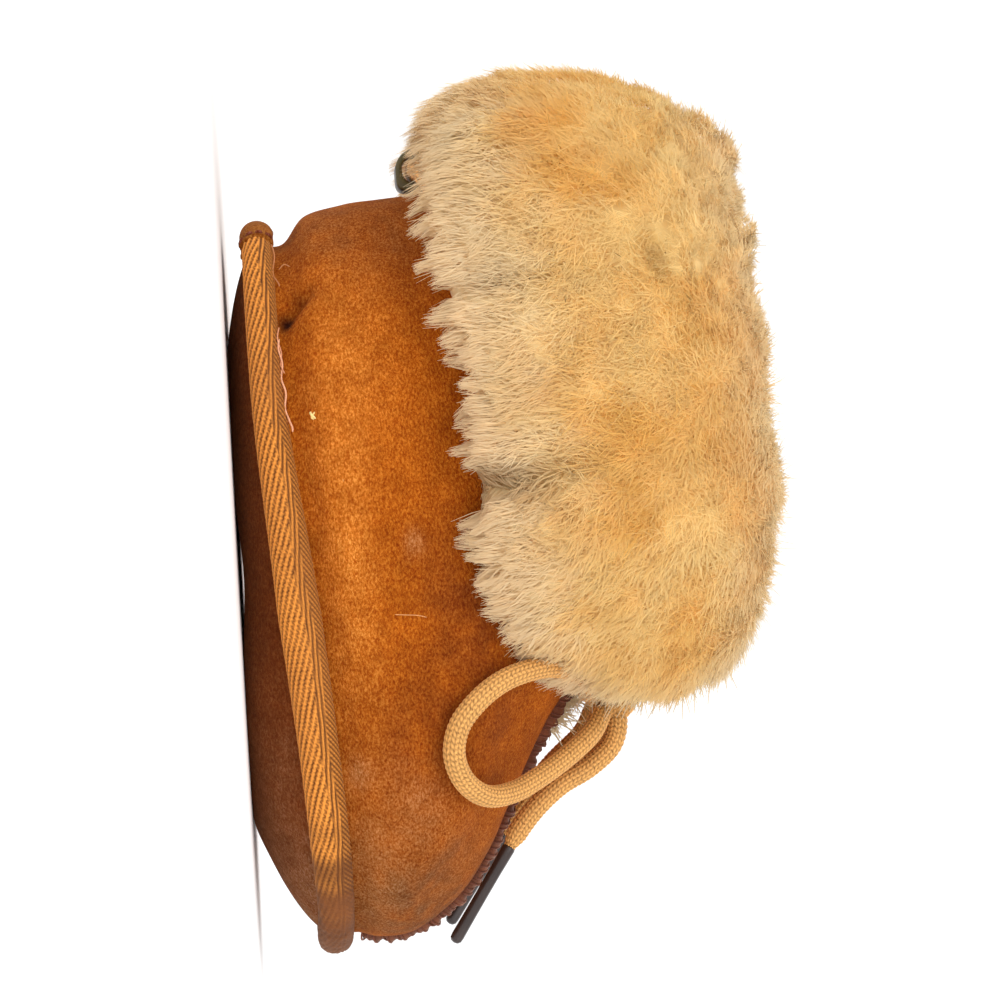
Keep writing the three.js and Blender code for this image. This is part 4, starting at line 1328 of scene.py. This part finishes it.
CUFF_OPEN = math.radians(15)
LOCK_SHADING = 0.85
SLOPE_STEP = 0.7
NOTCH_SHADE = np.array([0.35, 0.45, 0.55])
# Partings in the wool: side, x along the shoe, half width, depth and how far the fibres lean away
PARTINGS = [
    [-1, 46, 1.9, 2.6, 2.0],
    [1, 34, 1.7, 2.2, 2.2],
    [1, 68, 1.4, 1.5, 1.4],
    [-1, 14, 1.3, 0.7, 0.6],
]


LAST_ROW = len(ROOT_ROWS) - 1
ROW_STEP = 0.3
# Where the unrolled cuff is measured: how far out round it, and the angle of the line over it
MEASURED_OUT = 9.0
MEASURED_ANGLE = np.array([1.75])


class Fleece:
    """Places on the unrolled cuff, in millimetres: round it, and over it from the lower edge."""

    angles = np.linspace(CUFF_OPEN, 2 * math.pi - CUFF_OPEN, 2000)
    round = lengths_along(beside(angles, SHAFT_RISE, MEASURED_OUT))
    rows = np.linspace(0, LAST_ROW, 201)
    over = lengths_along(on_rows(np.repeat(cuff_rails(MEASURED_ANGLE)[0], len(rows), 0), rows))

    def __init__(self, spots):
        self.u = np.clip(spots[:, 0], 0, self.round[-1])
        self.v = np.clip(spots[:, 1], 0, self.over[-1])
        self.angle = np.interp(self.u, self.round, self.angles)
        self.row = np.interp(self.v, self.over, self.rows)
        face, roots, ways = cuff_rails(self.angle)
        self.root, self.face = on_rows(roots, self.row), on_rows(face, self.row)
        self.way = unit(on_rows(ways, self.row))
        self.side = np.sign(self.face[:, 1])
        below = on_rows(face, np.maximum(self.row - ROW_STEP, 0))
        slope = unit(below - on_rows(face, np.minimum(self.row + ROW_STEP, LAST_ROW)))
        self.climb = -slope
        hanging = smoothstep(3.0, 1.2, self.row)[:, None]
        self.down = unit(slope * (1 - 0.6 * hanging) + np.array([0, 0, -0.6]) * hanging)
        self.round_way = unit(way_round(self.angle, SHAFT_RISE))
        outward = level_side(self.angle, SHAFT_RISE) * np.where(self.row < 7.3, 1, -1)[:, None]
        self.facing = unit(outward + 0.6 * self.way)
        self.low = smoothstep(6.0, 1.5, self.row)
        self.edge = smoothstep(2.2, 0.6, self.row)
        self.hang = smoothstep(3.4, 1.0, self.row)
        self.high = smoothstep(3.6, 5.2, self.row) * smoothstep(9, 8, self.row)
        x = self.face[:, 0]
        crest = smoothstep(3.4, 5.0, self.row) * smoothstep(8.2, 7, self.row)
        self.back_crest = smoothstep(34, 8, x) * crest
        self.front = smoothstep(math.radians(40), CUFF_OPEN, from_toe(self.angle))
        self.apart = np.zeros_like(x)
        self.notch = np.zeros_like(x)
        self.swell = self.locks()

    def streaks(self, across, length, seed):
        """Noise drawn out along the hang of the wool."""
        drift = 1.8 * noise(self.face, 14, 51)
        flat = np.stack([(self.u + drift + 0.25 * self.v) / across, self.v / length, 0 * self.u], -1)
        return noise(flat, 1.0, seed)

    def locks(self):
        """How far the wool stands proud of its even face: locks, creases at partings, tufts behind."""
        total = 1.4 * self.streaks(6.5, 8, 52) + 0.35 * self.streaks(2.8, 4.5, 53)
        tufts = np.abs(self.streaks(5.2, 5.2, 54)) + 0.5 * np.abs(self.streaks(2.6, 2.8, 55))
        total = total + self.back_crest * (3.0 * tufts - 1.0) + 0.15 * self.high * (2 * tufts - 0.8)
        total = total + 2.6 * smoothstep(18, 2, self.face[:, 0]) * smoothstep(0.8, 2, self.row)
        wander = 1.2 * noise(self.face, 7, 56)
        for side, x, half, depth, lean in PARTINGS:
            apart = (self.face[:, 0] + wander - x) / half
            fade = np.where(self.side == side, smoothstep(3.9, 1.6, self.row), 0)
            banks = np.exp(-((np.abs(apart) - 2.6) / 1.6) ** 2)
            total = total - fade * depth * (np.exp(-apart**2) - 0.3 * banks)
            self.apart = self.apart + fade * lean * np.sign(apart) * np.exp(-((apart / 2.2) ** 2))
            self.notch = self.notch + fade * depth / 2.8 * np.exp(-((apart / 1.2) ** 2))
        return total * smoothstep(9.5, 8, self.row)

    def normals(self):
        """The way out of the wool's face, turned by the slopes of its locks."""
        spots = np.stack([self.u, self.v], -1)
        along_round = (Fleece(spots + [SLOPE_STEP, 0]).swell - self.swell) / SLOPE_STEP
        along_climb = (Fleece(spots + [0, SLOPE_STEP]).swell - self.swell) / SLOPE_STEP
        lean = self.round_way * along_round[:, None] + self.climb * along_climb[:, None]
        return unit(unit(self.way + self.facing) - LOCK_SHADING * lean)

    def at(self, depth):
        """Points at a share of the wool's depth."""
        share = (depth * (1 - 0.17 * self.high))[:, None]
        return self.root + (self.face - self.root) * share + self.way * self.swell[:, None]

    def tones(self):
        """The colour of the wool's face: honey, amber in patches and as painted shade in its hollows,
        pale along its edge, and pale over its rim as painted backlight.
        """
        hollow_shade = smoothstep(0.25, -0.5, self.streaks(2.4, 4.0, 53) + 0.5 * self.streaks(7, 8, 57))
        amber = (0.4 * hollow_shade + 0.6 * smoothstep(-0.35, 0.4, noise(self.face, 11, 41)))[:, None]
        tone = HONEY * (1 - amber) + AMBER * amber
        lower = 0.92 * smoothstep(3.4, 1.2, self.row + 0.5 * self.streaks(3, 6, 58))
        # Painted backlight: the wool paler over its crest and rim
        rim = 0.65 * smoothstep(4.4, 6.6, self.row)
        pale = np.clip(lower + rim + 0.5 * self.front, 0, 0.9)[:, None]
        shadow = np.clip(self.notch, 0, 1)[:, None] * smoothstep(2.8, 1.2, self.row)[:, None]
        return (tone * (1 - pale) + PALE * pale) * (1 - shadow * NOTCH_SHADE)


# How much of a fibre's shading is its own, and not the lock's
OWN_SHADING = 0.07


def ribbons(lines, ways, widths, tones, normals):
    """Flat tapering fibres along lines, turned to face along ways."""
    count, steps = lines.shape[:2]
    tangent = unit(np.gradient(lines, axis=1))
    across = unit(np.cross(tangent, ways[:, None]))
    half = 0.5 * widths[..., None] * across
    points = np.stack([lines - half, lines + half], 2).reshape(-1, 3)
    start = np.arange(count)[:, None] * steps * 2
    row = np.arange(steps - 1)[None, :] * 2 + start
    faces = np.stack([row, row + 1, row + 3, row + 2], -1).reshape(-1, 4)
    own = np.cross(across, tangent)
    lit = unit((1 - OWN_SHADING) * normals[:, None] + OWN_SHADING * own)
    side = int(math.ceil(math.sqrt(count)))
    cell = np.stack([np.arange(count) % side, np.arange(count) // side], -1)
    v = np.linspace(0.1, 0.9, steps)
    corner = np.stack(np.broadcast_arrays(
        cell[:, None, None, 0] + np.array([0.15, 0.85])[None, None, :],
        cell[:, None, None, 1] + v[None, :, None],
    ), -1).reshape(-1, 2) / side
    twice = [np.repeat(values, 2, axis=1).reshape(-1, 3) for values in (tones, lit)]
    return points, faces, twice[0], corner, twice[1]


CLUMP = 2.3
ROOT_DEPTH = 0.62
HANGING_ROWS = 2.6
BRIGHTEST = 0.97
# Fibres to a clump, their points along the curve, their widths, and the seed
FRINGE = [33, [0.2, 0.64, 1.0], [0.2, 0.18, 0.04], 6]
FLUFF = [66, [0.42, 1.0], [0.16, 0.06], 7]


def grow(places, each, shares, thick, seed):
    """Fibres round places on the fleece: their angles, then lines, ways, widths, tones and normals."""
    rng = np.random.default_rng(seed)
    clumps = len(places)
    own = np.repeat(np.arange(clumps), each)
    lock = Fleece(places)
    hair = Fleece(places[own] + rng.uniform(-1, 1, (len(own), 2)) * CLUMP * 0.75)

    fall = 0.5 + 0.5 * lock.low + 1.4 * lock.hang + 0.5 * noise(lock.face, 9, 35)
    fall = fall + lock.edge * (rng.uniform(-1.0, 2.8, clumps) + 2.2 * noise(lock.face, 4.5, 36))
    fall = fall + 1.2 * lock.high * noise(lock.face, 5, 37) - 2.6 * lock.edge * lock.notch
    sway = 1.2 * noise(lock.face, 13, 32) + 0.8 * noise(lock.face, 5, 33) + rng.normal(0, 0.35, clumps)
    sway = sway + 1.2 * lock.high * noise(lock.face, 5, 38) + 0.8 * lock.edge * rng.normal(0, 1, clumps)
    lean = lock.down * fall[:, None] + lock.round_way * sway[:, None]
    lean[:, 0] += 0.7 * lock.low + 1.6 * lock.front + lock.apart
    lean[:, 1] -= lock.side * 0.7 * lock.front
    loose = rng.normal(0, 1.0, (len(own), 3)) * (1.85 - 0.75 * hair.hang - 0.5 * hair.edge)[:, None]
    loose = loose - 0.75 * hair.way * (loose * hair.way).sum(-1, keepdims=True)
    t = np.array(shares)[None, :, None]

    def curves(wool, bent):
        face = wool.at(1.0)
        root, bend, tip = (p[:, None] for p in (wool.at(ROOT_DEPTH), face + wool.way * 0.3, face + bent))
        return (1 - t) ** 2 * root + 2 * t * (1 - t) * bend + t * t * tip

    guide = curves(lock, lean)[own]
    lines = curves(hair, lean[own] + loose)
    tight = 0.15 + 0.1 * lock.low + 0.5 * lock.edge + 0.45 * lock.back_crest + rng.normal(0, 0.1, clumps)
    pull = (np.clip(tight, 0.05, 0.85)[own] * rng.uniform(0.6, 1.1, len(own)))[:, None, None] * t**1.3
    gathered = (guide - lines) * pull
    inward = np.minimum((gathered * hair.way[:, None]).sum(-1, keepdims=True), 0)
    lines = lines + gathered - inward * hair.way[:, None] + rng.normal(0, 0.2, lines.shape) * t
    widths = np.array(thick)[None, :] * rng.uniform(0.8, 1.25, len(own))[:, None]

    # Painted shade: each fibre darker towards its root
    root_shade = 0.3 * smoothstep(0.7, 0.0, t)
    tones = hair.tones()[:, None] * (1 - root_shade) + ROOT * root_shade
    shade = (1 + rng.normal(0, 0.015, clumps))[own] * rng.normal(1, 0.012, len(own))
    tones = np.clip(tones * shade[:, None, None], 0, BRIGHTEST)
    ways = unit(hair.facing + rng.normal(0, 0.25, (len(own), 3)))
    return hair.angle, [lines, ways, widths, tones, hair.normals()]


def wool_pieces():
    """Curved fibres along the hanging edge, and twice as many finer, straight ones over the rest."""
    rng = np.random.default_rng(5)
    places = np.stack(np.meshgrid(
        np.arange(0.5, Fleece.round[-1] / CLUMP) * CLUMP,
        np.arange(0.3, Fleece.over[-1] / CLUMP) * CLUMP,
        indexing="ij",
    ), -1).reshape(-1, 2)
    places = places + rng.uniform(-0.5, 0.5, places.shape) * CLUMP
    hanging = Fleece(places).row + rng.normal(0, 0.3, len(places)) < HANGING_ROWS
    sets = [
        [places[hanging], FRINGE, [180], ["fringe_left", "fringe_right"]],
        [places[~hanging], FLUFF, [75, 140, 220, 285],
         ["left_front", "left_rear", "heel", "right_rear", "right_front"]],
    ]
    for spots, kind, bounds, names in sets:
        angle, fibres = grow(spots, *kind)
        part = np.digitize(np.degrees(angle), bounds)
        for n, name in enumerate(names):
            points, faces, colours, cells, lit = ribbons(*(values[part == n] for values in fibres))
            piece("wool_" + name, points, [faces], WOOL_FIBRES, colours, cells=cells, normals=lit)


def wool_skin():
    """The dense body of the wool under its loose fibres, folded over the rim."""
    columns, rows = 260, 66
    u = np.linspace(0.3, Fleece.round[-1] - 0.3, columns)
    v = np.linspace(0, Fleece.over[-1], rows)
    wool = Fleece(np.stack(np.meshgrid(u, v, indexing="ij"), -1).reshape(-1, 2))
    sunk = 0.25 * np.abs(wool.swell) + 0.3 * np.maximum(wool.swell, 0) + 0.2
    wool.swell = wool.swell - sunk - 1.3 * np.clip(wool.notch, 0, 1) ** 0.4
    outer = wool.at(0.91 - 0.02 * wool.high).reshape(columns, rows, 3)
    angles = wool.angle.reshape(columns, rows)[:, 0]
    lower, crest = cuff_at(angles)[:2]
    inside = -WALL - GAP
    lace_top = lower + 0.2 * (crest - lower)
    fold = [
        [inside, SHAFT_TOP - 6], [inside, SHAFT_TOP + GAP], [GAP, SHAFT_TOP + GAP], [GAP, SHAFT_TOP - 2],
        [LACE_ROOM, SHAFT_TOP - 9], [LACE_ROOM, lace_top],
    ]
    inner = [beside_shaft(angles, out, z) for out, z in fold]
    rings = np.concatenate([np.stack(inner, 1), outer], 1)
    points, faces = loft(rings)
    tones = np.broadcast_to(ROOT, rings.shape).copy()
    # Painted shade: the body under the loose fibres darker than the wool's face
    tones[:, len(fold):] = (0.86 * (0.7 * wool.tones() + 0.3 * ROOT)).reshape(outer.shape)
    tones = np.vstack([tones.reshape(-1, 3), ROOT, ROOT])
    piece("wool_body", points, faces, WOOL, tones, ["cuff"])


# Widths and painted shade, darker towards the root, of a loose fibre at its root, middle and tip, and how
# many fibres each pile has
PILE_WIDTHS = np.array([0.3, 0.27, 0.08])
PILE_ROOT_SHADE = np.array([0.85, 0.95, 1.0])
LINING_FIBRES = 6500
SLIT_FIBRES = 1800
INSOLE_FIBRES = 3200
END_FIBRES = 1800


def pile(name, roots, out, lay, facing, length, tone, seed):
    """Short loose wool: fibres from roots that rise along out and lie over along lay."""
    rng = np.random.default_rng(seed)
    count = len(roots)
    reach = (length * rng.uniform(0.7, 1.25, count))[:, None]
    spread = lay + rng.normal(0, 0.55, (count, 3))
    outward = unit(out)
    spread = spread - outward * np.minimum((spread * outward).sum(-1, keepdims=True), 0)
    middle = roots + reach * (0.4 * out + 0.3 * spread)
    tips = roots + reach * (0.55 * out + 0.85 * spread)
    turned = unit(facing + rng.normal(0, 0.25, (count, 3)))
    widths = PILE_WIDTHS[None, :] * rng.uniform(0.8, 1.25, count)[:, None]
    shade = (0.95 + 0.07 * noise(roots, 3, 70)) * rng.normal(1, 0.04, count)
    tones = np.clip(tone * (shade[:, None] * PILE_ROOT_SHADE)[..., None], 0, BRIGHTEST)
    lines = np.stack([roots, middle, tips], 1)
    points, faces, colours, cells, lit = ribbons(lines, turned, widths, tones, unit(facing))
    piece(name, points, [faces], WOOL_FIBRES, colours, cells=cells, normals=lit)


def lining_pile():
    """Wool on the inside of the wall, leaning down."""
    rng = np.random.default_rng(21)
    rise = rng.uniform(6, SHAFT_TOP - 2, LINING_FIBRES)
    first = slit_angle(rise)
    angle = first + (2 * math.pi - 2 * first) * rng.random(len(rise))
    inward = -skin_normal(angle, rise)
    roots = skin(angle, rise) + inward * (WALL + 0.5)
    pile("lining_pile", roots, inward, np.array([0, 0, -0.5]), inward, 3.6, CREAM, 22)


def slit_pile():
    """Wool of the lining that stands out of the slit's edges."""
    rng = np.random.default_rng(23)
    rise = rng.uniform(42, 60, SLIT_FIBRES)
    rise = rise[skin(0, rise)[:, 2] > SLIT_FOOT + 1.5]
    side = np.where(np.arange(len(rise)) % 2, 1.0, -1.0)
    angle = side * slit_angle(rise)
    normal = skin_normal(angle, rise)
    depth = rng.uniform(0.3 * WALL, WALL + 0.8, len(rise))
    roots = skin(angle, rise) - normal * depth[:, None]
    across = np.stack([0 * side, side, 0 * side], -1)
    out = 1.7 * unit(normal - 0.4 * across)
    pile("slit_pile", roots, out, 0, across + 0.6 * normal, 3.2, CREAM, 24)


def insole_pile():
    """Trodden wool on the pad in the sole."""
    rng = np.random.default_rng(25)
    angle = rng.uniform(0, 2 * math.pi, INSOLE_FIBRES)
    roots = beside(angle, 0, -5 - 0.3 * sole_round(angle), SOLE_THICK + GAP + PAD_TOP - 0.1)
    roots[:, 1] *= rng.uniform(-1, 1, len(angle))
    lay = 0.8 * np.stack([noise(roots, 9, 71), noise(roots, 9, 72), 0 * angle], -1)
    up = np.broadcast_to([0, 0, 1.0], roots.shape)
    pile("insole_pile", roots, up, lay, up, 3.0, CREAM, 26)


def end_wool():
    """Wool over the two ends of the cuff, beside the slit."""
    rng = np.random.default_rng(27)
    for name, u, sign in [["left", 0, -1], ["right", Fleece.round[-1], 1]]:
        v = rng.uniform(0.02, 0.93, END_FIBRES) * Fleece.over[-1]
        wool = Fleece(np.stack([np.full_like(v, u), v], -1))
        share = np.sqrt(rng.uniform(0, 1, END_FIBRES))
        roots = wool.root + (wool.at(1.0) - wool.root) * share[:, None] - sign * wool.round_way * 0.8
        out = sign * wool.round_way
        lay = np.array([0.3, 0, -0.5]) + 0.3 * wool.way * share[:, None]
        facing = unit(out + 0.4 * wool.facing)
        pile("wool_end_" + name, roots, out, lay, facing, 3.4, PALE, 28)


wool_skin()
wool_pieces()
end_wool()
lining_pile()
slit_pile()
insole_pile()


# Floor and light
FLOOR_HALF = 6.0
FLOOR_TONE = 0.97
WORLD_STRENGTH = 1.15


def stage_floor():
    """A wide pale floor."""
    mesh = bpy.data.meshes.new("floor")
    corners = [(x * FLOOR_HALF, y * FLOOR_HALF, 0) for x, y in [(-1, -1), (1, -1), (1, 1), (-1, 1)]]
    mesh.from_pydata(corners, [], [(0, 1, 2, 3)])
    material, _, bsdf = new_shader("floor", 0.9, 0.1)
    bsdf.inputs["Base Color"].default_value = (FLOOR_TONE, FLOOR_TONE, FLOOR_TONE, 1)
    mesh.materials.append(material)
    floor = bpy.data.objects.new("floor", mesh)
    bpy.context.scene.collection.objects.link(floor)


# Lamps: name, place, aim, size and power
LAMPS = [
    ["key", (-0.35, -0.95, 0.75), (0, 0, 0.04), 0.8, 4],
    ["fill", (0.7, -0.8, 0.35), (0, 0, 0.04), 0.9, 1.5],
    ["rear", (0.1, 0.9, 0.9), (0, 0, 0.05), 0.8, 2],
]


def area_light(name, place, aim, size, power):
    lamp = bpy.data.lights.new(name, "AREA")
    lamp.shape = "DISK"
    lamp.size = size
    lamp.energy = power
    thing = bpy.data.objects.new(name, lamp)
    thing.location = place
    thing.rotation_euler = (Vector(aim) - Vector(place)).to_track_quat("-Z", "Y").to_euler()
    bpy.context.scene.collection.objects.link(thing)


stage_floor()
for row in LAMPS:
    area_light(*row)
world = bpy.data.worlds.new("world")
world.use_nodes = True
world.node_tree.nodes["Background"].inputs["Color"].default_value = (1, 1, 1, 1)
world.node_tree.nodes["Background"].inputs["Strength"].default_value = WORLD_STRENGTH
bpy.context.scene.world = world
bpy.context.scene.view_settings.view_transform = "Standard"
